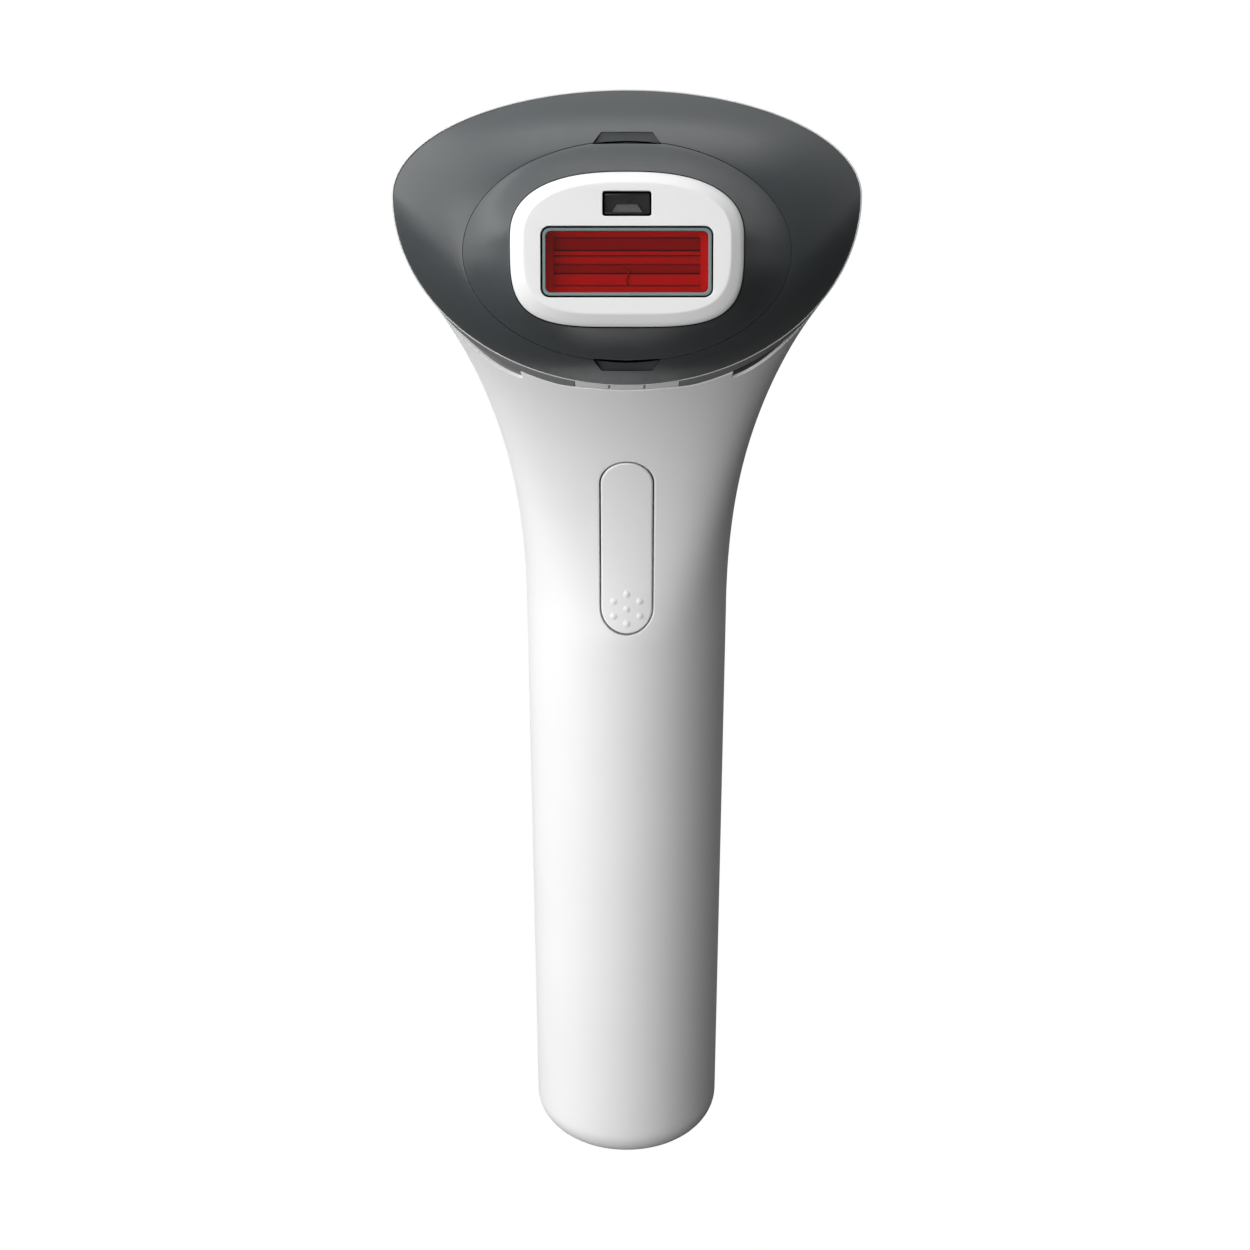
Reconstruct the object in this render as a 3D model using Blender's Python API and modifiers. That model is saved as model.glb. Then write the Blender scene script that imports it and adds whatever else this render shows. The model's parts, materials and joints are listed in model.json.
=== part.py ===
"""Handheld IPL hair remover that stands upright on the end of its handle.

Units are metres and +Z runs up the handle. The origin is the middle of the flat base. The treatment
window faces -Y and is tilted a little upwards. Head pieces are children of an empty at the window's
centre whose X is the part's X, whose Y runs up the face and whose Z is the face's outward normal.
"""

import math

import bmesh
import bpy
from mathutils import Matrix, Vector

MM = 0.001

# Clearances and walls
GAP = 0.3 * MM
SHELL_WALL = 2.0 * MM
SLIDE_GAP = 0.35 * MM
INSIDE_CLEARANCE = 0.5 * MM

# Handle
HANDLE_LENGTH = 112.0 * MM
BASE_HALF_WIDTH = 18.1 * MM
BASE_HALF_DEPTH = 19.5 * MM
NECK_HALF_WIDTH = 19.0 * MM
NECK_HALF_DEPTH = 20.3 * MM
BASE_FILLET = 6.0 * MM
BASE_PLATE_MARGIN = 2.0 * MM
BASE_PLATE_THICKNESS = 2.4 * MM

# Treatment window and the face around it, measured in the plane of the face
FACE_TILT = math.radians(15)
FACE_REACH = 48.0 * MM
FACE_RISE = 79.8 * MM
WINDOW_HALF_WIDTH = 14.25 * MM
WINDOW_HALF_HEIGHT = 5.85 * MM
WINDOW_CORNER = 1.5 * MM
WINDOW_RIM = 0.8 * MM
GLASS_TOP = 0.9 * MM
GLASS_THICKNESS = 1.0 * MM
TUNNEL_SIDE = 0.45 * MM
TUNNEL_WALL = 1.3 * MM
ATTACHMENT_BASE_THICKNESS = 1.4 * MM
SEAT_GAP = 2.0 * MM
SEAT_THICKNESS = 1.8 * MM
FRAME_SIDE = 5.1 * MM
FRAME_TOP = 8.85 * MM
FRAME_BOTTOM = 4.85 * MM
FRAME_RISE = 3.6 * MM
FRAME_THICKNESS = 3.4 * MM
FRAME_BEVEL = 2.2 * MM
FRAME_BEVEL_DROP = 1.5 * MM
CAP_SIDE = 8.35 * MM
CAP_TOP = 5.5 * MM
CAP_BOTTOM = 6.1 * MM
CAP_EDGE_DEPTH = 2.5 * MM
SEAM_DEPTH = 11.0 * MM
BEZEL_SIDE = 12.7 * MM
BEZEL_TOP = 9.2 * MM
BEZEL_BOTTOM = 4.4 * MM
RIM_DEPTH = 21.0 * MM
RIM_RISE = 11.3 * MM
DOME_SWELL = 0.45
FACE_WALL = 1.6 * MM
COLLAR_HEIGHT = 1.9 * MM
COLLAR_WALL = 1.4 * MM
VENT_DEPTH = 0.9 * MM
SENSOR_HALF_WIDTH = 4.05 * MM
SENSOR_HALF_HEIGHT = 2.05 * MM
SENSOR_RISE = 9.5 * MM
NOTCH_HALF_WIDTH = 5.6 * MM
NOTCH_HALF_END = 4.3 * MM
NOTCH_REACH = 1.5 * MM

# How the neck opens into the head
FLARE_POWER = 1.9
FRONT_EASE = 6.5 * MM
FRONT_SWEEP = 33.0 * MM
FRONT_ANGLE = math.radians(39.6)
BACK_EASE = 60.0 * MM
BACK_SWEEP = 10.6 * MM
BACK_ANGLE = math.radians(52)

# Flash button
BUTTON_RISE = 2.2 * MM
BUTTON_LENGTH = 34.0 * MM
BUTTON_HALF_WIDTH = 4.7 * MM
BUTTON_PIVOT_DROP = 1.5 * MM
BUTTON_THICKNESS = 1.8 * MM

# Rear panel and its controls
PANEL_DROP = 10.0 * MM
PANEL_LENGTH = 46.0 * MM
PANEL_HALF_WIDTH = 6.5 * MM
PANEL_THICKNESS = 1.4 * MM
KEY_RADIUS = 3.6 * MM
KEY_TRAVEL = 0.5 * MM
GUIDE_LENGTH = 19.0 * MM
GUIDE_HALF_WIDTH = 1.5 * MM
GUIDE_GAP = 1.6 * MM
KEY_GAP = 2.4 * MM
READY_RADIUS = 1.3 * MM
READY_DROP = 2.9 * MM
GRILLE_HALF_WIDTH = 9.0 * MM
GRILLE_HALF_HEIGHT = 6.5 * MM
GRILLE_SLOTS = 5

# Pieces inside
CELL_LENGTH = 54.0 * MM
CELL_START = 15.0 * MM
CAPACITOR_RADIUS = 11.0 * MM
CAPACITOR_LENGTH = 36.0 * MM
BOARD_THICKNESS = 1.2 * MM
CHASSIS_THICKNESS = 1.6 * MM
SOCKET_RADIUS = 3.0 * MM
SOCKET_OFFSET = 6.6 * MM
SOCKET_PIN_RADIUS = 0.9 * MM
SCREW_HEAD_RADIUS = 1.6 * MM
SCREW_SHANK_RADIUS = 0.9 * MM
SWITCH_HALF = 2.6 * MM
SWITCH_THICKNESS = 1.5 * MM
SWITCH_STEM_RADIUS = 1.2 * MM
SWITCH_WELL_DEPTH = 0.9 * MM
CAPACITOR_BACK = 1.0 * MM
LAMP_RADIUS = 1.8 * MM
LAMP_OVERHANG = 1.5 * MM
LAMP_DEPTH = 24.0 * MM
REFLECTOR_WALL = 0.6 * MM
LAMP_HOUSING_DEPTH = 31.0 * MM
HEAT_SINK_DEPTH = 10.0 * MM
FAN_THICKNESS = 8.0 * MM
FAN_STATION = 0.42
FAN_BLADES = 7

# Sizes that follow from the ones above
FACE_CENTRE = Vector((0, -FACE_REACH, HANDLE_LENGTH + FACE_RISE))
FACE_NORMAL = Vector((0, -math.cos(FACE_TILT), math.sin(FACE_TILT)))
FACE_UP = Vector((0, math.sin(FACE_TILT), math.cos(FACE_TILT)))
FRAME_HALF_WIDTH = WINDOW_HALF_WIDTH + FRAME_SIDE
FRAME_HIGH = WINDOW_HALF_HEIGHT + FRAME_TOP
FRAME_LOW = -WINDOW_HALF_HEIGHT - FRAME_BOTTOM
SEAM_HALF_WIDTH = FRAME_HALF_WIDTH + CAP_SIDE
SEAM_HIGH = FRAME_HIGH + CAP_TOP
SEAM_LOW = FRAME_LOW - CAP_BOTTOM
SEAM_RISE = (SEAM_HIGH + SEAM_LOW) / 2
RIM_HALF_WIDTH = SEAM_HALF_WIDTH + BEZEL_SIDE
RIM_HIGH = SEAM_HIGH + BEZEL_TOP
RIM_LOW = SEAM_LOW - BEZEL_BOTTOM
CELL_RADIUS = (BASE_HALF_WIDTH - SHELL_WALL - INSIDE_CLEARANCE - GAP) / 2 - 0.9 * MM
CELL_BACK = 0.9 * CELL_RADIUS
CHASSIS_BACK = CELL_BACK - CELL_RADIUS - GAP
BUTTON_LOW = HANDLE_LENGTH + BUTTON_RISE
BUTTON_SWITCH_BOARD = -0.68 * NECK_HALF_DEPTH
PANEL_LOW = HANDLE_LENGTH - PANEL_DROP - PANEL_LENGTH
PANEL_BOARD = CELL_BACK + CELL_RADIUS + GAP
POWER_LEVEL = PANEL_LOW + 2.2 * KEY_RADIUS
INTENSITY_LEVEL = POWER_LEVEL + 2 * KEY_RADIUS + KEY_GAP
READY_LEVEL = PANEL_LOW + PANEL_LENGTH - READY_DROP
GUIDE_LEVEL = READY_LEVEL - READY_RADIUS - GUIDE_GAP - GUIDE_LENGTH / 2
BASE_TOP = SEAM_DEPTH + GAP
ATTACHMENT_BOTTOM = BASE_TOP + ATTACHMENT_BASE_THICKNESS
TUNNEL_HALF_WIDTH = WINDOW_HALF_WIDTH - TUNNEL_SIDE
TUNNEL_HALF_HEIGHT = WINDOW_HALF_HEIGHT - TUNNEL_SIDE
SEAT_TOP = ATTACHMENT_BOTTOM + SEAT_GAP
SEAT_BOTTOM = SEAT_TOP + SEAT_THICKNESS
LAMP_HALF_LENGTH = WINDOW_HALF_WIDTH + LAMP_OVERHANG
REFLECTOR_HALF_HEIGHT = WINDOW_HALF_HEIGHT
BOARD_HALF_WIDTH = 0.66 * BASE_HALF_WIDTH
BOARD_FRONT = -0.5 * BASE_HALF_DEPTH
RING_POINTS = 48

COLOURS = {
    "white": ((0.86, 0.86, 0.86), 0.35, 0.0),
    "dark": ((0.075, 0.083, 0.086), 0.35, 0.0),
    "grey": ((0.16, 0.16, 0.165), 0.45, 0.0),
    "teal": ((0.17, 0.25, 0.25), 0.35, 0.0),
    "red_glass": ((0.5, 0.01, 0.005), 0.08, 0.0),
    "clear_glass": ((0.85, 0.88, 0.88), 0.05, 0.0),
    "lens": ((0.02, 0.02, 0.022), 0.2, 0.0),
    "mirror_metal": ((0.85, 0.85, 0.86), 0.12, 1.0),
    "steel": ((0.6, 0.6, 0.6), 0.3, 1.0),
    "brass": ((0.78, 0.6, 0.25), 0.3, 1.0),
    "aluminium": ((0.72, 0.72, 0.73), 0.4, 1.0),
    "board": ((0.02, 0.16, 0.07), 0.5, 0.0),
    "black": ((0.02, 0.02, 0.02), 0.5, 0.0),
    "ceramic": ((0.82, 0.8, 0.76), 0.6, 0.0),
    "cell_wrap": ((0.04, 0.12, 0.3), 0.4, 0.0),
}


def clear_scene():
    for item in list(bpy.data.objects):
        bpy.data.objects.remove(item)


def new_collection(name):
    collection = bpy.data.collections.new(name)
    bpy.context.scene.collection.children.link(collection)
    return collection


def paint(item, colour):
    base, roughness, metallic = COLOURS[colour]
    material = bpy.data.materials.new(item.name)
    material.use_nodes = True
    shader = material.node_tree.nodes["Principled BSDF"]
    shader.inputs["Base Color"].default_value = (*base, 1)
    shader.inputs["Roughness"].default_value = roughness
    shader.inputs["Metallic"].default_value = metallic
    item.data.materials.clear()
    item.data.materials.append(material)


def finish_piece(item, colour, parent=None):
    """Puts an object among the parts, with its material, and smooth where it is round."""
    PARTS.objects.link(item)
    item.parent = parent
    paint(item, colour)
    if item.type == "MESH":
        item.data.shade_smooth()
        item.data.set_sharp_from_angle(angle=math.radians(35))
    return item


def object_from(bm, name):
    bmesh.ops.recalc_face_normals(bm, faces=bm.faces)
    mesh = bpy.data.meshes.new(name)
    bm.to_mesh(mesh)
    bm.free()
    return bpy.data.objects.new(name, mesh)


def cutter(item, parent=None):
    CUTTERS.objects.link(item)
    item.parent = parent
    item.hide_render = True
    item.display_type = "WIRE"
    return item


def combine(item, tool, operation="DIFFERENCE"):
    modifier = item.modifiers.new(f"{operation.title()} {tool.name}", "BOOLEAN")
    modifier.operation = operation
    modifier.object = tool


def bevel(item, width, segments=2):
    modifier = item.modifiers.new("Bevel", "BEVEL")
    modifier.width = width
    modifier.segments = segments
    modifier.limit_method = "ANGLE"
    modifier.angle_limit = math.radians(50)


# Basic solids -------------------------------------------------------------------------------------


def block(name, low, high):
    """A box between two corners."""
    bm = bmesh.new()
    bmesh.ops.create_cube(bm, size=1)
    size = [b - a for a, b in zip(low, high)]
    middle = [(a + b) / 2 for a, b in zip(low, high)]
    bmesh.ops.scale(bm, vec=size, verts=bm.verts)
    bmesh.ops.translate(bm, vec=middle, verts=bm.verts)
    return object_from(bm, name)


def rod(name, radius, start, end, segments=20):
    """A cylinder between two points."""
    start = Vector(start)
    run = Vector(end) - start
    turn = Vector((0, 0, 1)).rotation_difference(run).to_matrix().to_4x4()
    place = Matrix.Translation(start + run / 2) @ turn
    bm = bmesh.new()
    bmesh.ops.create_cone(
        bm,
        cap_ends=True,
        segments=segments,
        radius1=radius,
        radius2=radius,
        depth=run.length,
        matrix=place,
    )
    return object_from(bm, name)


def rounded_rectangle(half_width, half_height, corner, steps=4, centre=(0, 0)):
    points = []
    for quarter in range(4):
        side = (1, -1, -1, 1)[quarter]
        level = (1, 1, -1, -1)[quarter]
        for step in range(steps + 1):
            angle = math.pi / 2 * (quarter + step / steps)
            x = side * (half_width - corner) + corner * math.cos(angle)
            y = level * (half_height - corner) + corner * math.sin(angle)
            points.append((centre[0] + x, centre[1] + y))
    return points


def circle(radius, centre=(0, 0), steps=20):
    angles = [math.tau * i / steps for i in range(steps)]
    return [(centre[0] + radius * math.cos(a), centre[1] + radius * math.sin(a)) for a in angles]


def plate(name, outlines, low, high):
    """A flat piece between two levels of Z. The first outline is its edge, the others are holes."""
    curve = bpy.data.curves.new(name, "CURVE")
    curve.dimensions = "2D"
    curve.fill_mode = "BOTH"
    curve.extrude = (high - low) / 2
    for outline in outlines:
        spline = curve.splines.new("POLY")
        spline.points.add(len(outline) - 1)
        for point, place in zip(spline.points, outline):
            point.co = (place[0], place[1], 0, 1)
        spline.use_cyclic_u = True
    drawn = bpy.data.objects.new(name, curve)
    CUTTERS.objects.link(drawn)
    graph = bpy.context.evaluated_depsgraph_get()
    mesh = bpy.data.meshes.new_from_object(drawn.evaluated_get(graph))
    bpy.data.objects.remove(drawn)
    bpy.data.curves.remove(curve)
    bm = bmesh.new()
    bm.from_mesh(mesh)
    bpy.data.meshes.remove(mesh)
    bmesh.ops.remove_doubles(bm, verts=bm.verts, dist=0.001 * MM)
    bmesh.ops.translate(bm, vec=(0, 0, (low + high) / 2), verts=bm.verts)
    return object_from(bm, name)


def skin(name, rings, closed_ring=True, caps=False, loop=False):
    """Faces between rings of points. loop joins the last ring to the first, caps fills both ends."""
    bm = bmesh.new()
    rows = [[bm.verts.new(point) for point in ring] for ring in rings]
    count = len(rings[0])
    columns = count if closed_ring else count - 1
    pairs = list(zip(rows, rows[1:]))
    if loop:
        pairs.append((rows[-1], rows[0]))
    for below, above in pairs:
        for i in range(columns):
            j = (i + 1) % count
            bm.faces.new((below[i], below[j], above[j], above[i]))
    if caps:
        bm.faces.new(rows[0][::-1])
        bm.faces.new(rows[-1])
    if loop or caps:
        return object_from(bm, name)
    mesh = bpy.data.meshes.new(name)
    bm.to_mesh(mesh)
    bm.free()
    return bpy.data.objects.new(name, mesh)


def thicken(item, thickness):
    modifier = item.modifiers.new("Solidify", "SOLIDIFY")
    modifier.thickness = thickness
    modifier.offset = -1
    modifier.use_even_offset = True


# The body's outer surface --------------------------------------------------------------------------


def face_point(x, y, depth):
    """A point given in the plane of the face, as a place in the part."""
    return FACE_CENTRE + Vector((x, 0, 0)) + FACE_UP * y - FACE_NORMAL * depth


def bezier(points, t):
    weights = ((1 - t) ** 3, 3 * t * (1 - t) ** 2, 3 * t * t * (1 - t), t**3)
    return sum((w * p for w, p in zip(weights, points)), Vector((0, 0, 0)))


RIM_FRONT = face_point(0, RIM_LOW, RIM_DEPTH)
RIM_BACK = face_point(0, RIM_HIGH, RIM_DEPTH)
FRONT_END = Vector((0, -math.sin(FRONT_ANGLE), math.cos(FRONT_ANGLE)))
BACK_END = Vector((0, -math.sin(BACK_ANGLE), math.cos(BACK_ANGLE)))
FRONT_PROFILE = (
    Vector((0, -NECK_HALF_DEPTH, HANDLE_LENGTH)),
    Vector((0, -NECK_HALF_DEPTH, HANDLE_LENGTH + FRONT_EASE)),
    RIM_FRONT - FRONT_END * FRONT_SWEEP,
    RIM_FRONT,
)
BACK_PROFILE = (
    Vector((0, NECK_HALF_DEPTH, HANDLE_LENGTH)),
    Vector((0, NECK_HALF_DEPTH, HANDLE_LENGTH + BACK_EASE)),
    RIM_BACK - BACK_END * BACK_SWEEP,
    RIM_BACK,
)
RIM_SHARE = (RIM_HIGH - RIM_RISE) / (RIM_HIGH - RIM_LOW)


def handle_point(height, angle):
    share = (height - BASE_FILLET) / (HANDLE_LENGTH - BASE_FILLET)
    half_width = BASE_HALF_WIDTH + (NECK_HALF_WIDTH - BASE_HALF_WIDTH) * share
    half_depth = BASE_HALF_DEPTH + (NECK_HALF_DEPTH - BASE_HALF_DEPTH) * share
    return Vector((half_width * math.cos(angle), half_depth * math.sin(angle), height))


def head_point(station, angle):
    """station runs from 0 at the neck to 1 at the rim. An angle of 90 degrees is the back."""
    front = bezier(FRONT_PROFILE, station)
    back = bezier(BACK_PROFILE, station)
    share = 0.5 + (RIM_SHARE - 0.5) * station
    half_width = NECK_HALF_WIDTH + (RIM_HALF_WIDTH - NECK_HALF_WIDTH) * station**FLARE_POWER
    reach = share if math.sin(angle) > 0 else 1 - share
    across = Vector((half_width * math.cos(angle), 0, 0))
    return back + (front - back) * share + across + (back - front) * reach * math.sin(angle)


def front_at(height):
    """Y of the front of the neck at a height, found by halving the stretch that holds it."""
    low, high = 0.0, 1.0
    for _ in range(30):
        middle = (low + high) / 2
        if bezier(FRONT_PROFILE, middle).z < height:
            low = middle
        else:
            high = middle
    return bezier(FRONT_PROFILE, low).y


def near_rim_point(angle, drop):
    """A point of the surface that lies this far behind the plane of the rim."""
    rim = head_point(1, angle)
    run = head_point(0.97, angle) - rim
    return rim - run * (drop / run.dot(FACE_NORMAL))


def inward(point, distance):
    """A point moved towards the middle of the head, in the plane of the face."""
    depth = FACE_NORMAL.dot(FACE_CENTRE - point)
    return point + (face_point(0, RIM_RISE, depth) - point).normalized() * distance


def base_point(angle, turn):
    """A point on the rounded edge of the base. turn runs from 0 at the flat to 90 degrees."""
    inset = BASE_FILLET * (1 - math.sin(turn))
    height = BASE_FILLET * (1 - math.cos(turn))
    x = (BASE_HALF_WIDTH - inset) * math.cos(angle)
    y = (BASE_HALF_DEPTH - inset) * math.sin(angle)
    return Vector((x, y, height))


def shell_rings(angles):
    plate_x = BASE_HALF_WIDTH - BASE_FILLET - BASE_PLATE_MARGIN + SLIDE_GAP
    plate_y = BASE_HALF_DEPTH - BASE_FILLET - BASE_PLATE_MARGIN + SLIDE_GAP
    rings = [[Vector((plate_x * math.cos(a), plate_y * math.sin(a), 0)) for a in angles]]
    for degrees in (0, 22.5, 45, 67.5):
        rings.append([base_point(a, math.radians(degrees)) for a in angles])
    for share in (0, 0.5):
        height = BASE_FILLET + (HANDLE_LENGTH - BASE_FILLET) * share
        rings.append([handle_point(height, a) for a in angles])
    for station in (0, 0.1, 0.2, 0.3, 0.4, 0.5, 0.6, 0.7, 0.8, 0.87, 0.94, 1):
        rings.append([head_point(station, a) for a in angles])
    return rings


def shell_half(name, start, rim_trim):
    """Half of the white body. start is the angle of its first edge, in degrees."""
    edge = 0.8
    angles = [start + edge] + [start + 7.5 * i for i in range(1, 24)] + [start + 180 - edge]
    item = skin(name, shell_rings([math.radians(a) for a in angles]), closed_ring=False)
    thicken(item, SHELL_WALL)
    combine(item, rim_trim)
    return finish_piece(item, "white")


def rim_cutter(name, head, slots):
    """All that lies in front of the shells' edge, with the tapered slots for air at each side."""
    reach = 1.5 * RIM_HALF_WIDTH
    edge = -RIM_DEPTH - COLLAR_HEIGHT
    start, end = 0.5 * RIM_HALF_WIDTH, 0.82 * RIM_HALF_WIDTH
    half = [(reach, reach), (reach, edge)]
    if slots:
        half += [(end, edge), (start, edge - VENT_DEPTH), (start, edge)]
    outline = half + [(-x, z) for x, z in reversed(half)]
    item = plate(name, [outline], -reach, reach)
    item.data.transform(Matrix.Rotation(math.radians(90), 4, "X"))
    return cutter(item, head)


def skin_piece(name, prism, points, thickness, colour):
    """A piece that follows the body's surface inside a prism. points(i, j) gives its grid."""
    item = skin(name, points, closed_ring=False)
    thicken(item, thickness)
    combine(item, cutter(prism), "INTERSECT")
    return finish_piece(item, colour)


def upright_prism(name, outline, low, high):
    """An outline drawn across X and Z, between two levels of Y."""
    item = plate(name, [outline], -high, -low)
    item.data.transform(Matrix.Rotation(math.radians(90), 4, "X"))
    return item


# Outer pieces --------------------------------------------------------------------------------------


def egg(angle, half_width, low, high, rise, power_low=2.0, power_high=2.0):
    """An outline with one curve above its widest level and another below it."""
    c, s = math.cos(angle), math.sin(angle)
    power, reach = (power_high, high - rise) if s > 0 else (power_low, rise - low)
    x = half_width * math.copysign(abs(c) ** (2 / power), c)
    y = rise + reach * math.copysign(abs(s) ** (2 / power), s)
    return x, y


def frame_outline(angle, grow=0.0):
    return egg(
        angle,
        FRAME_HALF_WIDTH + grow,
        FRAME_LOW - grow,
        FRAME_HIGH + grow,
        FRAME_RISE,
        power_low=3.1,
        power_high=2.5,
    )


def seam_outline(angle, grow=0.0):
    return egg(angle, SEAM_HALF_WIDTH + grow, SEAM_LOW - grow, SEAM_HIGH + grow, SEAM_RISE)


def rim_outline(angle, grow=0.0):
    return egg(angle, RIM_HALF_WIDTH + grow, RIM_LOW - grow, RIM_HIGH + grow, RIM_RISE)


def ring_angles(count=RING_POINTS):
    return [math.tau * i / count for i in range(count)]


def blend_ring(inner, outer, share, depth):
    """A ring part of the way from one outline to another, at a depth below the face."""
    ring = []
    for angle in ring_angles():
        a = Vector(inner(angle))
        b = Vector(outer(angle))
        point = a + (b - a) * share
        ring.append((point.x, point.y, -depth))
    return ring


def bezel_ring(head):
    """The dark outer ring of the head, from the rim up to the removable attachment."""

    def inner(angle):
        return seam_outline(angle, SLIDE_GAP)

    def inner_wall(angle):
        return rim_outline(angle, -SHELL_WALL)

    rise = RIM_DEPTH - SEAM_DEPTH
    shares = (0, 0.15, 0.3, 0.5, 0.7, 0.85, 0.95, 1)
    rings = []
    for share in shares:
        depth = SEAM_DEPTH + rise * (share - DOME_SWELL * share * (1 - share))
        rings.append(blend_ring(inner, rim_outline, share, depth))
    for share in (1, 0.66, 0.33, 0):
        depth = SEAM_DEPTH + FACE_WALL + rise * (share - DOME_SWELL * share * (1 - share))
        rings.append(blend_ring(inner, inner_wall, share, min(depth, RIM_DEPTH)))
    item = finish_piece(skin("bezel_ring", rings, loop=True), "dark", head)
    for name, level, side in (("top", SEAM_HIGH, 1), ("bottom", SEAM_LOW, -1)):
        near = level - side * NOTCH_REACH
        far = level + side * NOTCH_REACH
        outline = [
            (-NOTCH_HALF_WIDTH, near),
            (NOTCH_HALF_WIDTH, near),
            (NOTCH_HALF_END, far),
            (-NOTCH_HALF_END, far),
        ]
        notch = plate(f"notch_{name}", [outline], -SEAM_DEPTH - 0.9 * MM, 0)
        combine(item, cutter(notch, head))


def collar_piece(name, start, end, colour):
    """A stretch of the band between the bezel and the white shells, by angle in degrees."""
    steps = max(2, round((end - start) / 7.5))
    angles = [math.radians(start + (end - start) * i / steps) for i in range(steps + 1)]
    rings = []
    for angle in angles:
        low = near_rim_point(angle, COLLAR_HEIGHT - GAP)
        high = near_rim_point(angle, GAP)
        rings.append([low, high, inward(high, COLLAR_WALL), inward(low, COLLAR_WALL)])
    finish_piece(skin(name, rings, caps=True), colour)


def collar():
    collar_piece("vent_collar", 270 + 13.4, 630 - 13.4, "grey")
    collar_piece("collar_clip_left", 270 - 13.0, 270 - 4.7, "white")
    collar_piece("collar_tab", 270 - 4.3, 270 + 4.3, "white")
    collar_piece("collar_clip_right", 270 + 4.7, 270 + 13.0, "white")


def flash_button_and_slot(front_shell):
    middle = BUTTON_LOW + BUTTON_LENGTH / 2
    half = BUTTON_LENGTH / 2
    wide = BUTTON_HALF_WIDTH
    outline = rounded_rectangle(wide, half, wide * 0.999, 8, (0, middle))
    hole = rounded_rectangle(
        wide + SLIDE_GAP, half + SLIDE_GAP, (wide + SLIDE_GAP) * 0.999, 8, (0, middle)
    )
    near, far = -3 * NECK_HALF_DEPTH, -NECK_HALF_DEPTH / 2
    combine(front_shell, cutter(upright_prism("button_slot", hole, near, far)))
    angles = [math.radians(270 - 24 + 6 * i) for i in range(9)]
    stations = [0.12 * i for i in range(8)]
    points = [[handle_point(HANDLE_LENGTH - 6 * MM, a) for a in angles]]
    points += [[head_point(s, a) for a in angles] for s in stations]
    prism = upright_prism("button_shape", outline, near, far)
    item = skin_piece("flash_button", prism, points, BUTTON_THICKNESS, "white")
    pivot = Vector((0, -NECK_HALF_DEPTH, BUTTON_LOW + BUTTON_LENGTH - BUTTON_PIVOT_DROP))
    move_origin(item, pivot)


def move_origin(item, place):
    item.data.transform(Matrix.Translation(-place))
    item.location = place


def rear_controls(rear_shell):
    middle = PANEL_LOW + PANEL_LENGTH / 2
    near, far = BASE_HALF_DEPTH / 2, 2 * NECK_HALF_DEPTH
    wide, half = PANEL_HALF_WIDTH, PANEL_LENGTH / 2
    edge = rounded_rectangle(wide, half, wide * 0.999, 6, (0, middle))
    hole = rounded_rectangle(
        wide + SLIDE_GAP, half + SLIDE_GAP, (wide + SLIDE_GAP) * 0.999, 6, (0, middle)
    )
    combine(rear_shell, cutter(upright_prism("panel_opening", hole, near, far)))
    angles = [math.radians(90 - 30 + 6 * i) for i in range(11)]
    heights = [PANEL_LOW - 4 * MM + (PANEL_LENGTH + 8 * MM) * i / 4 for i in range(5)]
    points = [[handle_point(h, a) for a in angles] for h in heights]
    prism = upright_prism("panel_shape", edge, near, far)
    panel = skin_piece("rear_panel", prism, points, PANEL_THICKNESS, "grey")
    for name, level in (("power", POWER_LEVEL), ("intensity", INTENSITY_LEVEL)):
        opening = upright_prism(
            f"{name}_key_hole", circle(KEY_RADIUS + SLIDE_GAP, (0, level)), near, far
        )
        combine(panel, cutter(opening))
        shape = upright_prism(f"{name}_key_shape", circle(KEY_RADIUS, (0, level)), near, far)
        key = skin_piece(f"{name}_button", shape, points, PANEL_THICKNESS, "white")
        move_origin(key, Vector((0, NECK_HALF_DEPTH, level)))
    guide = rounded_rectangle(
        GUIDE_HALF_WIDTH, GUIDE_LENGTH / 2, GUIDE_HALF_WIDTH * 0.9, 4, (0, GUIDE_LEVEL)
    )
    guide_hole = rounded_rectangle(
        GUIDE_HALF_WIDTH + GAP, GUIDE_LENGTH / 2 + GAP, GUIDE_HALF_WIDTH, 4, (0, GUIDE_LEVEL)
    )
    combine(panel, cutter(upright_prism("guide_hole", guide_hole, near, far)))
    shape = upright_prism("guide_shape", guide, near, far)
    skin_piece("intensity_light_guide", shape, points, PANEL_THICKNESS, "clear_glass")
    ready = circle(READY_RADIUS + GAP, (0, READY_LEVEL), 12)
    combine(panel, cutter(upright_prism("ready_hole", ready, near, far)))
    shape = upright_prism("ready_shape", circle(READY_RADIUS, (0, READY_LEVEL), 12), near, far)
    skin_piece("ready_light", shape, points, PANEL_THICKNESS, "clear_glass")


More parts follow.
